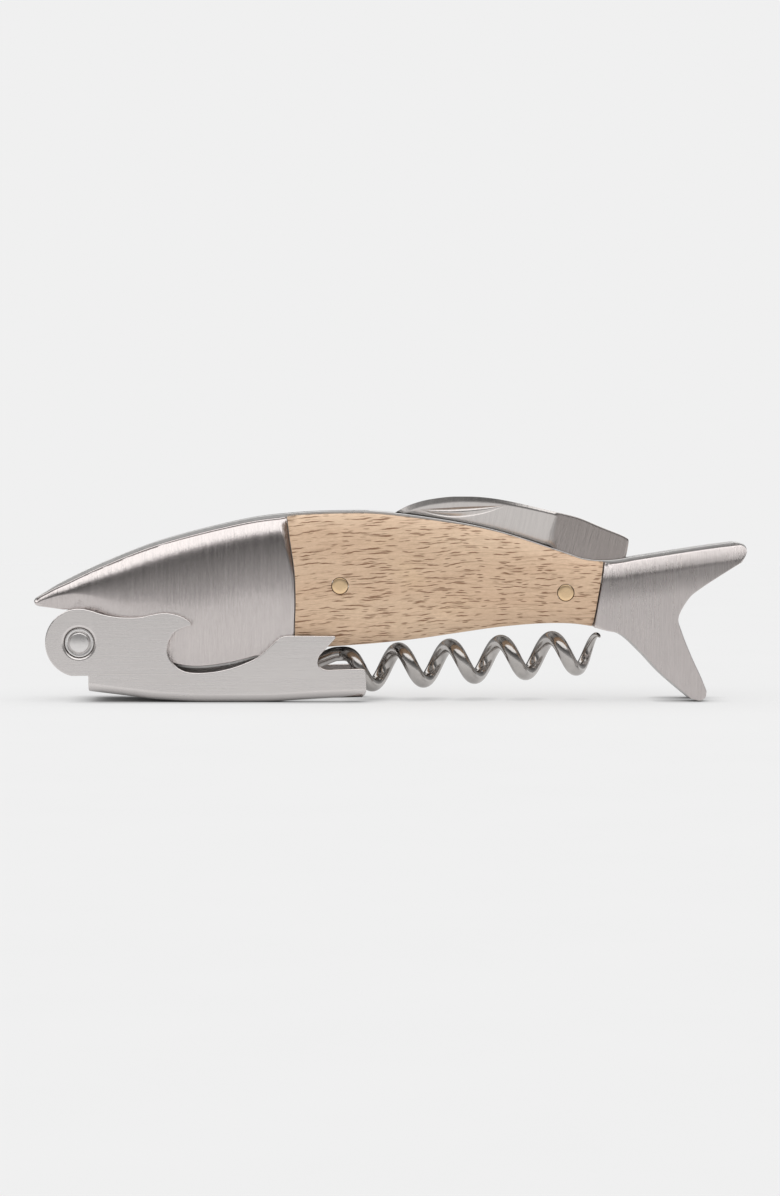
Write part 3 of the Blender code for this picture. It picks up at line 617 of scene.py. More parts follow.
def object_place(tree):
    return add_node(tree, "TexCoord", {}).outputs["Object"]


def feed(shader, name, socket):
    shader.id_data.links.new(socket, shader.inputs[name])


def emboss(tree, height, depth):
    """Gives the material's surface this relief, `depth` millimetres deep."""
    inputs = {"Height": height, "Distance": depth * MM, "Strength": 1.0}
    bump = add_node(tree, "Bump", inputs)
    feed(tree.nodes["Principled BSDF"], "Normal", bump.outputs[0])


# --- Metals ---


def brushed_metal(name, colour, roughness, fine, long, depth, wear=0.06, felt=1.6, turn=(0.0, 0.0, 0.0)):
    """Metal with brush marks. `fine` and `long` are the marks' lengths in millimetres, as (x, y, z)."""
    made, tree, shader = new_material(name, colour, 1.0, roughness)
    place = object_place(tree)
    marks = noise(place, fine, 2.0, 0.7, turn)
    bands = noise(place, long, 4.0, 0.65, turn)
    clouds = noise(place, (17.0, 17.0, 17.0), 2.0, 0.5)
    tone = plus(times(marks, 0.55), times(bands, 0.45))
    dark = tuple(c * (1 - wear) for c in colour)
    light = tuple(min(c * (1 + wear), 1.0) for c in colour)
    blended = mix_colours(remap(tone, 0.35, 0.65), (*dark, 1.0), (*light, 1.0))
    feed(shader, "Base Color", blended)
    uneven = plus(times(bands, 0.6), times(clouds, 0.4))
    feed(shader, "Roughness", remap(uneven, 0.3, 0.7, roughness - 0.04, roughness + 0.05))
    emboss(tree, plus(marks, times(bands, felt)), depth)
    return made


def bolster_steel(name):
    """Brushed upright. The tail's finish is coarser than the head's."""
    made = brushed_metal(name, (0.66, 0.61, 0.595), 0.19, (0.15, 1.1, 4.0), (0.42, 3.3, 9.0), 0.046)
    tree = made.node_tree
    rough = tree.nodes["Principled BSDF"].inputs["Roughness"]
    along = axes(object_place(tree))["X"]
    coarser = remap(along, 20.0 * MM, 30.0 * MM, 0.0, 0.09)
    tree.links.new(plus(rough.links[0].from_socket, coarser), rough)
    return made


def ground_blade(name):
    """The flank's grinding marks run across the blade. The tang keeps its darker mill finish."""
    turn = (0.0, math.radians(12), 0.0)
    colour = (0.62, 0.585, 0.565)
    made = brushed_metal(name, colour, 0.20, (0.15, 1.1, 3.2), (0.5, 3.3, 9.0), 0.022, turn=turn)
    tree = made.node_tree
    shader = tree.nodes["Principled BSDF"]
    ground = shader.inputs["Base Color"].links[0].from_socket
    parts = axes(object_place(tree))
    along = calculate("SUBTRACT", parts["X"], times(parts["Z"], PLUNGE_LEAN))
    tang = remap(along, 24.5 * MM, 25.3 * MM, smooth_step=True)
    dulled = mix_colours(1.0, ground, (0.71, 0.68, 0.67, 1.0), "MULTIPLY")
    feed(shader, "Base Color", mix_colours(tang, ground, dulled))
    return made


def polished_wire(name, colour):
    """Drawn and polished wire: dark and glossy, with fine uneven bands and small pits."""
    made, tree, shader = new_material(name, colour, 1.0, 0.20)
    place = object_place(tree)
    clouds = noise(place, (3.8, 3.8, 3.8), 3.0, 0.6)
    drawn = noise(place, (1.1, 0.4, 0.4), 2.0, 0.5)
    feed(shader, "Roughness", remap(clouds, 0.35, 0.65, 0.12, 0.22))
    dark = tuple(c * 0.82 for c in colour)
    blended = mix_colours(remap(clouds, 0.3, 0.7), (*dark, 1.0), (*colour, 1.0))
    feed(shader, "Base Color", blended)
    emboss(tree, plus(times(clouds, 2.0), drawn), 0.012)
    return made


# --- Wood ---


def grain_place(tree):
    """Flat coordinates along the grain, different on the two sides, and gently waved."""
    parts = axes(object_place(tree))
    side = calculate("GREATER_THAN", parts["Y"], 0.0)
    x = plus(parts["X"], times(side, 0.371))
    z = plus(parts["Z"], times(side, 0.113))
    flat = add_node(tree, "CombineXYZ", {"X": x, "Y": z, "Z": 0.0}).outputs[0]
    wave = noise(flat, (18.0, 9.0, 9.0), 1.0, 0.5)
    ahead = calculate("MAXIMUM", calculate("SUBTRACT", 0.035, parts["X"]), 0.0)
    rise = times(times(ahead, ahead), 0.9)
    ripple = noise(flat, (2.4, 1.4, 1.4), 2.0, 0.6)
    lift = plus(times(wave, 0.0022), times(ripple, 0.0005))
    lift = plus(lift, rise)
    waved = add_node(tree, "CombineXYZ", {"X": x, "Y": plus(z, lift), "Z": 0.0})
    return waved.outputs[0]


def pores(place, cell, low, high, share):
    """Lens-shaped pores, one in a cell of these lengths in millimetres. Only `share` of them show."""
    tree = place.id_data
    inputs = {"Vector": in_cells(place, cell), "Scale": 1.0, "Randomness": 1.0}
    cells = add_node(tree, "TexVoronoi", inputs, voronoi_dimensions="2D", feature="F1")
    parts = add_node(tree, "SeparateColor", {"Color": cells.outputs["Color"]})
    shape = remap(cells.outputs["Distance"], low, high, 1.0, 0.0, smooth_step=True)
    present = remap(parts.outputs[0], 1.0 - share, 1.0 - share + 0.25, 0.0, 1.0)
    return times(shape, present)


def light_wood(name):
    """Open-pored light wood: warm base, long fibres, short dark pores along the grain."""
    base = (0.735, 0.545, 0.385)
    made, tree, shader = new_material(name, base, 0.0, 0.55)
    place = grain_place(tree)
    broad = noise(place, (45.0, 10.5, 10.5), 3.0, 0.55)
    fibres = noise(place, (14.0, 0.38, 0.38), 3.0, 0.7)
    flecks = noise(place, (0.9, 0.35, 0.35), 2.0, 0.6)
    patches = noise(place, (22.0, 17.0, 17.0), 2.0, 0.5)
    colour = mix_colours(remap(broad, 0.35, 0.65), (0.68, 0.475, 0.325, 1.0), (*base, 1.0))
    colour = mix_colours(remap(patches, 0.55, 0.75, 0.0, 0.55), colour, (0.77, 0.55, 0.33, 1.0))
    for marks, dull, bright in (
        (fibres, (0.90, 0.88, 0.86, 1.0), (1.05, 1.05, 1.05, 1.0)),
        (flecks, (0.93, 0.92, 0.90, 1.0), (1.05, 1.06, 1.07, 1.0)),
    ):
        tone = mix_colours(remap(marks, 0.3, 0.7), dull, bright)
        colour = mix_colours(1.0, colour, tone, "MULTIPLY")
    along = axes(object_place(tree))["X"]
    headwards = remap(along, 0.0, 24.0 * MM, 1.0, 0.35)
    tailwards = remap(along, -16.0 * MM, 16.0 * MM, 0.55, 1.0)
    long_pores = times(pores(place, (14.0, 0.66, 1.0), 0.09, 0.19, 0.90), headwards)
    short_pores = pores(place, (7.6, 0.60, 1.0), 0.09, 0.20, 0.80)
    small_pores = times(pores(place, (3.4, 0.50, 1.0), 0.09, 0.23, 0.70), tailwards)
    faint_pores = times(pores(place, (8.3, 0.34, 1.0), 0.06, 0.30, 0.9), 0.30)
    strong = calculate("MAXIMUM", long_pores, short_pores)
    dark = calculate("MAXIMUM", strong, calculate("MAXIMUM", small_pores, faint_pores))
    colour = mix_colours(times(dark, 0.92), colour, (0.235, 0.120, 0.062, 1.0))
    facing = add_node(tree, "TexCoord", {}).outputs["Normal"]
    end_grain = remap(calculate("ABSOLUTE", axes(facing)["X"]), 0.5, 0.8)
    colour = mix_colours(end_grain, colour, (0.34, 0.24, 0.17, 1.0))
    feed(shader, "Base Color", colour)
    feed(shader, "Roughness", remap(dark, 0.0, 1.0, 0.50, 0.80))
    emboss(tree, calculate("SUBTRACT", times(fibres, 0.25), dark), 0.05)
    return made


def make_materials():
    """One material for each of the record's slots."""
    return {
        "brushed_steel": bolster_steel("satin_bolster_steel"),
        "lever_steel": brushed_metal(
            "satin_lever_steel", (0.735, 0.70, 0.685), 0.26, (9.0, 1.1, 0.14), (30.0, 6.0, 0.4), 0.005,
            wear=0.018, felt=0.2,
        ),
        "blade_steel": ground_blade("ground_blade_steel"),
        "plate_steel": brushed_metal(
            "cut_plate_steel", (0.60, 0.59, 0.58), 0.28, (1.1, 0.22, 1.1), (8.0, 1.7, 8.0), 0.010,
        ),
        "rivet_steel": brushed_metal(
            "pressed_rivet_steel", (0.76, 0.74, 0.73), 0.28, (0.33, 0.33, 0.33), (3.3, 3.3, 3.3), 0.004,
        ),
        "worm_steel": polished_wire("drawn_worm_steel", (0.555, 0.53, 0.51)),
        "light_wood": light_wood("open_pored_light_wood"),
        "brass": brushed_metal(
            "satin_brass", (0.90, 0.655, 0.40), 0.30, (0.33, 0.33, 0.2), (2.0, 2.0, 1.1), 0.008,
        ),
    }


# --- Handle ---


def tab_round_worm_pivot():
    return [(-8.2, 9.85), (-11.5, 9.6), *arc(WORM_PIVOT, 2.75, 20, -200, 36), (-21.5, 8.5)]


def lug_round_lever_pivot():
    return [(-48.8, 7.4), *arc(LEVER_PIVOT, LUG_R, -50, -235, 48), (-57.9, 16.25)]


def liner(word, side):
    outline = joined(
        *map(smooth, (BACK, UPPER_TIP, FORK, LOWER_TIP, TAIL_UNDER, BELLY)), tab_round_worm_pivot(),
        smooth(LINER_THROAT), lug_round_lever_pivot(), smooth(SNOUT),
    )
    sheet = plate(f"liner_{word}_plate", outline, *span(side, LINER_INNER, LINER_OUTER))
    drill_for_pins(sheet, *HOLES)
    complete(sheet, f"liner_{word}")


def head_spacer():
    back = [p for p in smooth(BACK) if p[0] < -4.0]
    step = [(-35.2, 12.6), (-35.2, 5.85)]
    throat = [p for p in smooth(LINER_THROAT) if p[0] < -36.0]
    outline = joined(
        back, smooth(SPACER_REAR), SPACER_ROOF, step, throat, lug_round_lever_pivot(), smooth(SNOUT),
    )
    spacer = plate("head_spacer_plate", outline, -CORE_HALF, CORE_HALF)
    drill_for_pins(spacer, LEVER_PIVOT, HEAD_SCALE_PIN, SNOUT_PIN, NECK_PIN)
    complete(spacer, "head_spacer")


def lip_and_dome(over, under, height, share_of_height, power):
    """A wall, a narrow flat lip under the top edge, and a dome that is full at this share of the height.
    A power of 1 makes a straight slope of it, and a power of 2 a round one."""
    inside = np.maximum(over - LIP, 0.0)
    share = inside / (inside + under + 1e-6)
    dome = swell(share, share_of_height, power) * (1 - 0.05 * ease(share, share_of_height, 1.0))
    return BOLSTER_WALL + 0.15 * np.minimum(over, LIP) + height * dome


def head_bolster_rise(points):
    """Slim at the nose and full at the neck, whose edge is chamfered, most of all at the top."""
    slim = np.clip((points[:, 0] + 64.15) / 30.0, 0.0, 1.0)
    full = SNOUT_RISE + (BOLSTER_RISE - SNOUT_RISE) * np.sin(0.5 * np.pi * slim)
    over = distance_to(head_crown(), points)
    under = distance_to(smooth(THROAT + JAW), points)
    nose = distance_to(smooth(NOSE), points)
    fade = 0.20 + 0.80 * ease(points[:, 0], -64.5, -48.0)
    behind = ease(points[:, 0], -62.0, -49.0)
    height = (full - BOLSTER_WALL - 0.1) * fade
    body = lip_and_dome(over, under, height, 0.30 + 0.25 * behind, 1.2 + 0.8 * behind)
    for edge, radius in zip((under, over, nose), HEAD_ROUNDINGS):
        body = body - rounding(edge, radius)
    top = ease(points[:, 1], 19.0, 32.0)
    neck = distance_to(smooth(NECK), points)
    chamfer = (0.14 + 0.50 * top) * np.clip(1 - neck / (0.24 + 0.85 * top), 0.0, 1.0)
    return np.maximum(body - chamfer, 0.16)


def head_crown():
    """The bolster's top edge. It comes closer to the liner's edge towards the nose."""
    def drop(x):
        return NOSE_DROP + (HEAD_DROP - NOSE_DROP) * float(ease(x, -64.0, -57.0))

    back = [(x, z) for x, z in smooth(BACK) if -63.4 < x < -19.4]
    return [NOSE[0]] + [(x, z - drop(x)) for x, z in back] + [NECK[0]]


def head_bolster(word, side):
    crown = head_crown()
    under = smooth([NOSE[-1]] + JAW[-2::-1] + THROAT[::-1] + [NECK[-1]])
    grid = patch(crown, under, smooth(NOSE), smooth(NECK), crowded(130), crowded(72))
    bolster = domed_plate(f"head_bolster_{word}_casting", grid, head_bolster_rise, side)
    tongue = joined(
        [(-47.0, 9.7)], arc(LEVER_PIVOT, LUG_R, -50, -235, 48), [(-57.9, 16.3), (-56.0, 18.0), (-47.0, 16.0)],
    )
    lug = plate(f"{bolster.name}_lug", tongue, *span(side, PLATE_BASE, LUG_FACE), edge=0.0)
    combine(bolster, lug, "UNION")
    drill(bolster, LEVER_PIVOT, LUG_R + 0.05, *span(side, LUG_FACE, 9.0), sides=96)
    drill_for_pins(bolster, LEVER_PIVOT)
    for centre in (SNOUT_PIN, NECK_PIN):
        drill(bolster, centre, STEEL_PIN_R + ROOM, *span(side, 0.0, PIN_DEPTH + 0.2))
    complete(bolster, f"head_bolster_{word}")


def scale_crown():
    """The wood's top edge. It comes closer to the liner's edge towards the tail."""
    back = [(x, z) for x, z in smooth(BACK) if -18.0 < x < 37.0]
    return [(x, z - PLATE_DROP + 0.3 * float(ease(x, 0.0, 25.0))) for x, z in back]


def scale_rise(points):
    over = distance_to(scale_crown(), points)
    under = distance_to(smooth(BELLY + [(-17.6, 9.35)]), points)
    dome = swell(over + 0.25, 6.5, 2.2) * swell(under + 0.35, 4.5, 2.2)
    ends = np.minimum(distance_to(smooth(NECK), points), distance_to(smooth(RUMP), points)) - JOINT_GAP
    dip = 0.10 * (1 - swell(ends, 0.25, 2.0))
    return np.maximum(SCALE_RISE * dome - dip, 0.30)


def wood_scale(word, side):
    neck = [(x + JOINT_GAP, z) for x, z in smooth(NECK)]
    rump = [(x - JOINT_GAP, z) for x, z in smooth(RUMP)]
    crown = [neck[0]] + scale_crown() + [rump[0]]
    belly = [(x, z + 0.12) for x, z in smooth(BELLY + [(-8.2, 9.85)])[::-1] if x < 35.0]
    under = [neck[-1]] + belly + [rump[-1]]
    grid = patch(crown, under, neck, rump, crowded(110), crowded(56))
    scale = domed_plate(f"wood_scale_{word}_slab", grid, scale_rise, side)
    drill_for_pins(scale, HEAD_SCALE_PIN, TAIL_SCALE_PIN)
    complete(scale, f"wood_scale_{word}")


def tail_bolster_rise(points):
    """Falls away towards the top edge, and has a crisp rounding along the fork and underneath."""
    over = distance_to([(x, z - TAIL_DROP) for x, z in smooth(BACK) + [(68.0, 29.35)]], points)
    tip = distance_to(smooth(UPPER_TIP), points)
    under = distance_to(smooth(LOWER_TIP[1:] + TAIL_UNDER[1:]), points)
    fork = distance_to(smooth(FORK), points)
    rump = distance_to(smooth(RUMP), points)
    reach = np.linspace(0.0, 40.0, 801)
    slope = np.interp(reach, TAIL_REACHES, TAIL_SLOPES)
    fall = np.interp(over, reach, slope[::-1].cumsum()[::-1] * reach[1])
    body = (TAIL_RISE - fall) * swell(over + 0.3, 0.5)
    for edge, radius in zip((under, fork, rump, over, tip), TAIL_ROUNDINGS):
        body = body - rounding(edge, radius)
    return body


def tail_bolster(word, side):
    """One strip bent round the fork: its columns run from the upper tip to the lower one."""
    rump = smooth(RUMP)
    over = [rump[0]] + [(x, z - TAIL_DROP) for x, z in smooth(BACK) if x > 38.3] + [TAIL_UPPER_TIP[0]]
    below = [(x, z) for x, z in smooth(TAIL_UNDER) if x < 52.5]
    insets = [0.24 * float(ease(x, 37.0, 42.0)) for x, z in below]
    under = [TAIL_LOWER_TIP[0]] + [(x + d, z + d) for (x, z), d in zip(below, insets)] + [rump[-1]]
    u = np.arange(161) / 160
    bends = [0.0, 0.4, 0.6, 1.0]
    outer = np.where(
        (u < 0.4)[:, None], spots(over[::-1], u / 0.4),
        np.where((u < 0.6)[:, None], spots(rump, (u - 0.4) / 0.2), spots(under[::-1], (u - 0.6) / 0.4)),
    )
    inner = spots(smooth(FORK), np.interp(u, bends, [0.0, 0.36, 0.62, 1.0]))
    t = crowded(56)
    upper_tip, lower_tip = spots(smooth(TAIL_UPPER_TIP), t), spots(smooth(TAIL_LOWER_TIP), t)
    grid = stretched(outer, inner, upper_tip, lower_tip, u, t)
    bolster = domed_plate(f"tail_bolster_{word}_casting", grid, tail_bolster_rise, side)
    drill(bolster, BLADE_PIVOT, BLADE_PIN_R + ROOM, *span(side, 0.0, PIN_DEPTH + 0.2))
    complete(bolster, f"tail_bolster_{word}")


def worm_spring():
    outline = joined(smooth(WORM_SPRING_UNDER), smooth(WORM_SPRING_TOP))
    leaf = plate("worm_spring_leaf", outline, -CORE_HALF, CORE_HALF)
    drill_for_pins(leaf, WORM_SPRING_PIN)
    complete(leaf, "worm_spring")


def blade_spring():
    belly = [(x, z + 0.15) for x, z in smooth(BELLY[::-1]) if 34.4 > x]
    tip = [(34.5, 14.3), (35.15, 17.35), (35.7, 18.9), *arc(BLADE_PIVOT, TANG_R + 0.3, 218, 198, 8)]
    outline = joined(belly, tip, smooth(BLADE_SPRING_TOP), [(-3.0, 11.2)])
    leaf = plate("blade_spring_leaf", outline, -CORE_HALF, CORE_HALF)
    drill_for_pins(leaf, BLADE_SPRING_PIN)
    complete(leaf, "blade_spring")


def brass_pins():
    """Ground flush with the wood, with a slightly crowned end and a broken edge."""
    for node, centre in (("brass_pin_head", HEAD_SCALE_PIN), ("brass_pin_tail", TAIL_SCALE_PIN)):
        reach = PLATE_BASE + float(scale_rise(np.array([centre]))[0]) - 0.01
        half = [(reach - 0.10, BRASS_R), (reach - 0.04, BRASS_R - 0.04), (reach, BRASS_R - 0.12)]
        half += [(reach + 0.02, BRASS_R * 0.55), (reach + 0.025, BRASS_R * 0.12)]
        stud = turned(f"{node}_stud", centre, mirrored(half))
        for vertex in stud.data.vertices:
            x, y, z = vertex.co / MM
            tilt = PLATE_BASE + float(scale_rise(np.array([(x, z)]))[0]) - 0.01 - reach
            vertex.co.y = (y + math.copysign(tilt, y)) * MM
        complete(stud, node)


def washer(word, side):
    profile = disc(WASHER_INNER, WASHER_OUTER, WASHER_R, 0.1)
    ring = turned(f"lever_washer_{word}_ring", LEVER_PIVOT, [(side * y, r) for y, r in profile], 96)
    drill_for_pins(ring, LEVER_PIVOT)
    complete(ring, f"lever_washer_{word}", 30)


def lever_rivet():
    """A flange with a rounded rim, a groove, and a dome that rises to the ear's outer face."""
    flange, edge, dome, floor = 7.12, 0.12, 1.83, 6.98
    half = [(6.97, RIVET_R), (6.97, FLANGE_R - 0.05)]
    for a in (0.0, 0.8, 1.57):
        half.append((flange - edge + edge * math.sin(a), FLANGE_R - edge + edge * math.cos(a)))
    half += [(flange, dome + 0.30), (floor + 0.02, dome + 0.16), (floor, dome)]
    rim, crown = 0.34, 0.13
    for i in range(9):
        a = math.pi / 16 * i
        half.append((EAR_OUTER - crown - rim + rim * math.sin(a), dome - rim + rim * math.cos(a)))
    for i in range(1, 7):
        out = 1 - i / 6
        half.append((EAR_OUTER - crown * out * out, (dome - rim) * max(out, 0.06)))
    complete(turned("lever_rivet_heads", LEVER_PIVOT, mirrored(half), 96), "lever_rivet", 50)


# --- Lever ---


def lever_underside():
    """(x, z) along the lever's underside, from its free end to the pivot's end."""
    return [(-3.0, 0.98), (-10.5, 0.7)] + smooth(LEVER_BOTTOM) + smooth(LEVER_HEEL) + [(-65.0, 2.6)]


def trough(name, half, radius, lift, top):
    """A solid bar with the lever's curved underside, raised by `lift`, and rounded lower edges."""
    angles = [math.radians(7.5 * i) for i in range(13)]
    low = [(-half + radius - radius * math.cos(a), radius - radius * math.sin(a)) for a in angles]
    low += [(-y, z) for y, z in low[::-1]]
    rings = []
    for x, z in lever_underside():
        rings.append([(x, -half, top)] + [(x, y, z + lift + rise) for y, rise in low] + [(x, half, top)])
    return lofted(name, rings)


def relief_slot():
    """The opening in the web that lets the worm through."""
    end, half, corner = RELIEF_START, RELIEF_HALF, 3.0
    upper = [(0.0, half)] + arc((end + corner, half - corner), corner, 90, 180, 16)
    lower = arc((end + corner, corner - half), corner, 180, 270, 16) + [(0.0, -half)]
    outline = joined(upper, lower)
    slot = plate("lever_relief", outline, -3.0, 3.0, edge=0.0)
    slot.data.transform(Matrix.Rotation(math.radians(90), 4, "X"))
    return slot


def dimple(side):
    """Cutters' profiles for one ear: a boss inside and a soft-edged dish outside."""
    boss = [(side * 5.65, 3.2), (side * (EAR_INNER + 0.3), 4.0)]
    deep, wide = 0.26, 0.50
    dish = [(side * 6.85, 2.71), (side * (EAR_OUTER - deep), 2.72)]
    dish += [(side * (EAR_OUTER - deep * (1 - t)), 2.72 + wide * t) for t in (0.1, 0.5, 0.94, 1.0)]
    dish += [(side * (EAR_OUTER + 0.004), 2.73 + wide), (side * (EAR_OUTER + 0.3), 4.4)]
    return boss, dish


def lever():
    """One folded sheet: an ear on each side, a web underneath, a hook and a claw in both ears."""
    outline = joined(
        arc(LEVER_PIVOT, LEVER_R, 257, 82, 60), smooth(LEVER_SADDLE), smooth(LEVER_HOOK),
        [(-10.2, 11.85), (-9.95, 11.55)], smooth(LEVER_CLAW), smooth(LEVER_END), smooth(LEVER_END_UNDER),
        [(-5.6, -2.0), (WEB_START, -2.0), (WEB_START, 4.75)],
    )
    sheet = plate("lever_sheet", outline, -EAR_OUTER - 1.0, EAR_OUTER + 1.0, edge=0.0)
    combine(sheet, trough("lever_outer", EAR_OUTER, FOLD_R, 0.0, 20.0), "INTERSECT")
    combine(sheet, trough("lever_inner", EAR_INNER, 0.5, SHEET, 25.0))
    combine(sheet, relief_slot())
    for side in (-1, 1):
        boss, dish = dimple(side)
        combine(sheet, turned(f"lever_boss_{side}", LEVER_PIVOT, boss, 96), "UNION")
        combine(sheet, turned(f"lever_dish_{side}", LEVER_PIVOT, dish, 96))
    drill(sheet, LEVER_PIVOT, RIVET_R + RUNNING)
    join_flat_faces(sheet)
    round_edges(sheet, LEVER_EDGE)
    complete(sheet, "lever")


# --- Worm ---


def worm_path():
    """Centres and radii of the wire: out of the eye, along the shank, round the helix to the tip."""
    def phase(x):
        late = x - HELIX_START
        if late <= 0:
            return 0.0
        eased = late**2 / (2 * HELIX_EASE) if late < HELIX_EASE else late - HELIX_EASE / 2
        return 2 * math.pi * eased / PITCH + TIGHTENING * max(x - LAST_TURN, 0.0) ** 2

    def shank_drop(x):
        behind = max(SHANK_CREST - x, 0.0)
        bend = min(behind, SHANK_SLOPE / (2 * SHANK_BEND))
        return SHANK_BEND * bend**2 + SHANK_SLOPE * (behind - bend)

    path = []
    x = SHANK_START
    while x < WORM_TIP:
        axis_z = AXIS_POINT[1] + AXIS_SLOPE * (x - AXIS_POINT[0])
        turn = phase(x)
        path.append((x, -HELIX_R * math.sin(turn), axis_z + HELIX_R * math.cos(turn) - shank_drop(x)))
        x += PITCH / 80
    radii = [WIRE_R * min(1.0, 0.06 + 1.1 * math.sqrt(max(WORM_TIP - p[0], 0.0) / TAPER)) for p in path]
    return [Vector(p) for p in path], radii


def worm():
    """Round wire swept along its path, joined to the eye that turns on the worm's pivot."""
    path, radii = worm_path()
    sides = 28
    rings = []
    across = Vector((0.0, 1.0, 0.0))
    for i, centre in enumerate(path):
        ahead = (path[min(i + 1, len(path) - 1)] - path[max(i - 1, 0)]).normalized()
        across = (across - ahead * across.dot(ahead)).normalized()
        up = ahead.cross(across)
        angles = [2 * math.pi * k / sides for k in range(sides)]
        rings.append([centre + (across * math.cos(a) + up * math.sin(a)) * radii[i] for a in angles])
    wire = lofted("worm_wire", rings)
    profile = disc(-EYE_HALF, EYE_HALF, EYE_R, 0.15)
    combine(wire, turned("worm_eye", WORM_PIVOT, profile, 72), "UNION")
    drill(wire, WORM_PIVOT, WORM_PIN_R + RUNNING, -3.0, 3.0)
    complete(wire, "worm", 50)


# --- Blade ---


def blade_half(points):
    """Half the blade's thickness: a ground flank, thin at the edge, with a bevelled spine, and a
    soft step up to the flat tang."""
    spine, edge = smooth(BLADE_SPINE)[1:], smooth(BLADE_EDGE)[1:]
    to_spine, to_edge = distance_to(spine, points), distance_to(edge, points)
    flank = 0.12 + 0.84 * to_edge / (to_edge + to_spine + 0.01)
    band = 1.0 - 0.55 * ease(points[:, 0], 8.0, 30.0)
    flank = flank - 0.26 * (1 - np.clip(to_spine / band, 0.0, 1.0)) * ease(points[:, 0], -1.0, 4.0)
    plunge = points[:, 0] - (28.75 + PLUNGE_LEAN * (points[:, 1] - 27.7))
    low = 0.55 + 0.95 * ease(33.0 - points[:, 1], 0.0, 5.0)
    share = ease(plunge / low, -1.0, 0.7)
    rounded = 0.10 * (1 - swell(np.minimum(to_spine, distance_to(smooth(BLADE_END), points)), 0.25))
    return flank * (1 - share) + (BLADE_HALF - 0.01) * share - rounded * share


def blade_nick():
    """Cutter for the nail nick: deepest at its upper edge, rising to a near-flat floor and a sloped rim."""
    u, t = crowded(40), np.arange(13) / 12
    top, under = spots(NICK_TOP, u)[:, None, :], spots(smooth(NICK_UNDER), u)[:, None, :]
    grid = top * (1 - t)[None, :, None] + under * t[None, :, None]
    flat = grid[1:-1].reshape(-1, 2)
    height = np.linalg.norm(grid[1:-1, 0] - grid[1:-1, -1], axis=1)
    depth = height[:, None] * np.interp(t, NICK_SHARES, NICK_DEPTHS)[None, :]
    depth[:, -1] = -0.02
    floor = -(blade_half(flat) - depth.reshape(-1))
    near = [(x, y, z) for (x, z), y in zip(flat, floor)]
    far = [(x, -BLADE_HALF - 1.0, z) for x, z in flat]
    return slab("blade_nick", near, far, len(grid) - 2, len(t))


def blade():
    """A foil knife: ground flank, flat tang, nail nick in the front face."""
    tip = [BLADE_SPINE[0], BLADE_EDGE[0]]
    u = np.arange(1, 221) / 220
    grid = patch(smooth(BLADE_SPINE), smooth(BLADE_EDGE), tip, smooth(BLADE_END), u, crowded(36))
    flat = grid.reshape(-1, 2)
    half = blade_half(flat)
    front = [(x, -h, z) for (x, z), h in zip(flat, half)]
    back = [(x, h, z) for (x, z), h in zip(flat, half)]
    knife = slab("blade_knife", front, back, *grid.shape[:2])
    heel = mirrored([(BLADE_HALF - 0.1, TANG_R), (BLADE_HALF - 0.03, TANG_R - 0.1)])
    combine(knife, turned("blade_heel", BLADE_PIVOT, heel, 72), "UNION")
    combine(knife, blade_nick())
    drill(knife, BLADE_PIVOT, BLADE_PIN_R + RUNNING)
    complete(knife, "blade", 30)


# --- Studio ---


def stage_floor():
    """A pale round floor that glows: painted light that lifts its shadows. Ambient occlusion dims the glow where
    something stands close above it, a painted contact shadow.
    """
    work = bmesh.new()
    bmesh.ops.create_circle(work, cap_ends=True, radius=FLOOR_RADIUS, segments=128)
    mesh = bpy.data.meshes.new("pale_floor")
    work.to_mesh(mesh)
    work.free()
    floor = put("pale_floor", mesh)
    made, tree, shader = new_material("pale_paper_painted_light", (0.27, 0.27, 0.27), 0.0, 0.9)
    grey = remap(noise(object_place(tree), (25.0, 25.0, 25.0)), 0.3, 0.7, 0.272, 0.278)
    feed(shader, "Base Color", grey)
    shader.inputs["Specular IOR Level"].default_value = 0.0
    # Painted light: the floor glows
    shader.inputs["Emission Color"].default_value = (1.0, 1.0, 1.0, 1.0)
    # Painted contact shadow: ambient occlusion dims the glow under the object
    painted_shadow = add_node(tree, "AmbientOcclusion", {"Distance": FLOOR_PAINTED_SHADOW_REACH * MM}, samples=12)
    feed(shader, "Emission Strength", times(painted_shadow.outputs["AO"], FLOOR_PAINTED_GLOW))
    mesh.materials.append(made)


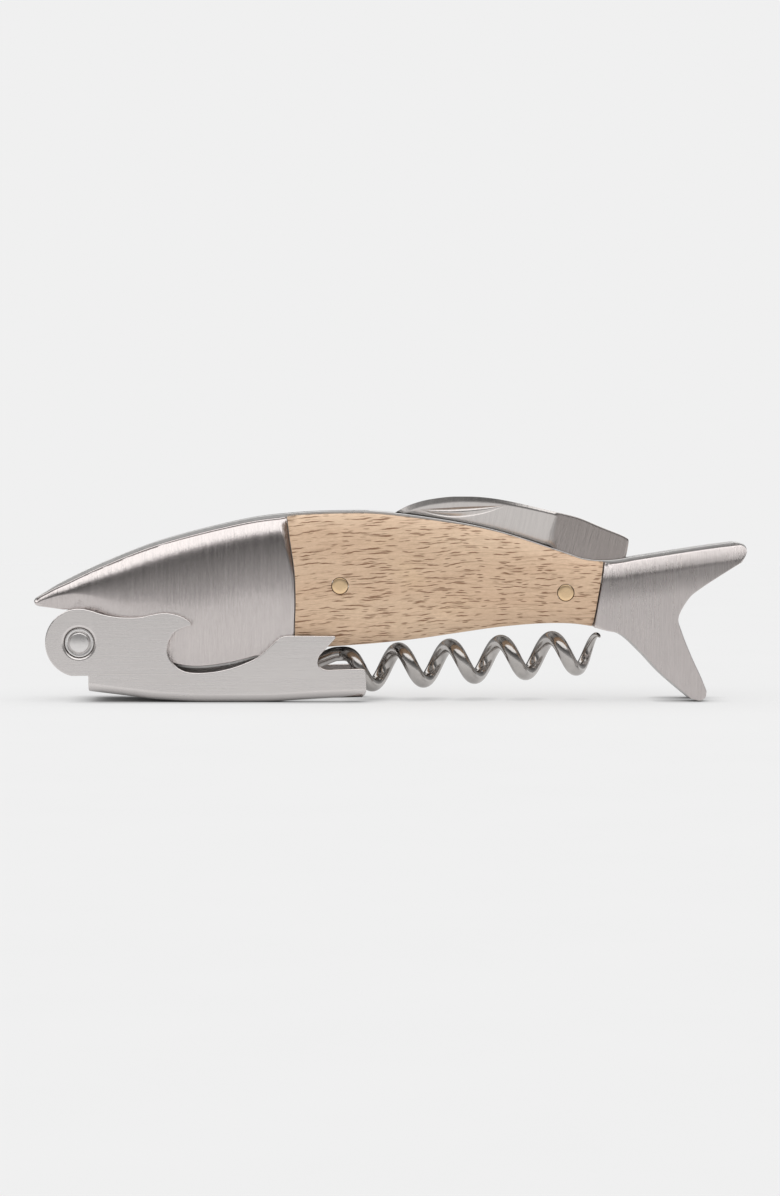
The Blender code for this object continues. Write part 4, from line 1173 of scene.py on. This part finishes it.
def studio_sky():
    """A soft box overhead, a darker room below it, and a plain pale backdrop where the camera looks."""
    world = bpy.data.worlds.new("studio")
    bpy.context.scene.world = world
    world.use_nodes = True
    tree = world.node_tree
    tree.nodes.clear()
    place = add_node(tree, "TexCoord", {}).outputs["Generated"]
    height = axes(place)["Z"]
    ramp = add_node(tree, "ValToRGB", {"Fac": height})
    elements = ramp.color_ramp.elements
    elements[0].color = (*[SKY[0][1]] * 3, 1.0)
    elements[1].color = (*[SKY[-1][1]] * 3, 1.0)
    for elevation, level in SKY[1:-1]:
        elements.new(math.sin(math.radians(elevation))).color = (level, level, level, 1.0)
    light = add_node(tree, "Background", {"Color": ramp.outputs[0], "Strength": SKY_STRENGTH})
    backdrop = add_node(tree, "Background", {"Color": (*[BACKDROP] * 3, 1.0), "Strength": 1.0})
    seen = add_node(tree, "LightPath", {}).outputs["Is Camera Ray"]
    mixed = add_node(tree, "MixShader", {0: seen, 1: light.outputs[0], 2: backdrop.outputs[0]})
    output = add_node(tree, "OutputWorld", {})
    tree.links.new(mixed.outputs[0], output.inputs["Surface"])


def fill_light():
    """A broad, even front fill that lifts the wood's face and stays out of the metal's reflections."""
    data = bpy.data.lights.new("front_fill", "SUN")
    data.angle = math.radians(70)
    data.energy = FILL_STRENGTH
    lamp = put("front_fill", data)
    lamp.location = (-0.25, -0.95, 0.50)
    lamp.rotation_euler = (-lamp.location).to_track_quat("-Z", "Y").to_euler()
    lamp.visible_glossy = False
    lamp.visible_camera = False


def camera():
    data = bpy.data.cameras.new("camera")
    data.sensor_width = SENSOR
    data.lens = SENSOR * CAMERA_DISTANCE / VIEW_HEIGHT
    data.clip_start = 0.01
    data.clip_end = 20.0
    seen = put("camera", data)
    tilt = math.radians(CAMERA_ELEVATION)
    aim = Vector(CAMERA_AIM) * MM
    seen.location = aim + Vector((0.0, -math.cos(tilt), math.sin(tilt))) * CAMERA_DISTANCE * MM
    seen.rotation_euler = (math.pi / 2 - tilt, 0.0, 0.0)
    bpy.context.scene.camera = seen


# --- Assembly ---


def carried_over():
    """Hidden pins keep their CAD shape and take their slot's material."""
    for node, obj in frame["nodes"].items():
        if not obj.hide_render:
            obj.data.materials.clear()
            obj.data.materials.append(MATERIALS[SLOT_OF[node]])


MATERIALS = make_materials()

for word, side in (("front", -1), ("back", 1)):
    liner(word, side)
    head_bolster(word, side)
    wood_scale(word, side)
    tail_bolster(word, side)
    washer(word, side)
head_spacer()
worm_spring()
blade_spring()
brass_pins()
lever_rivet()
lever()
worm()
blade()
carried_over()

camera()
stage_floor()
studio_sky()
fill_light()
bpy.context.scene.view_settings.view_transform = "Standard"
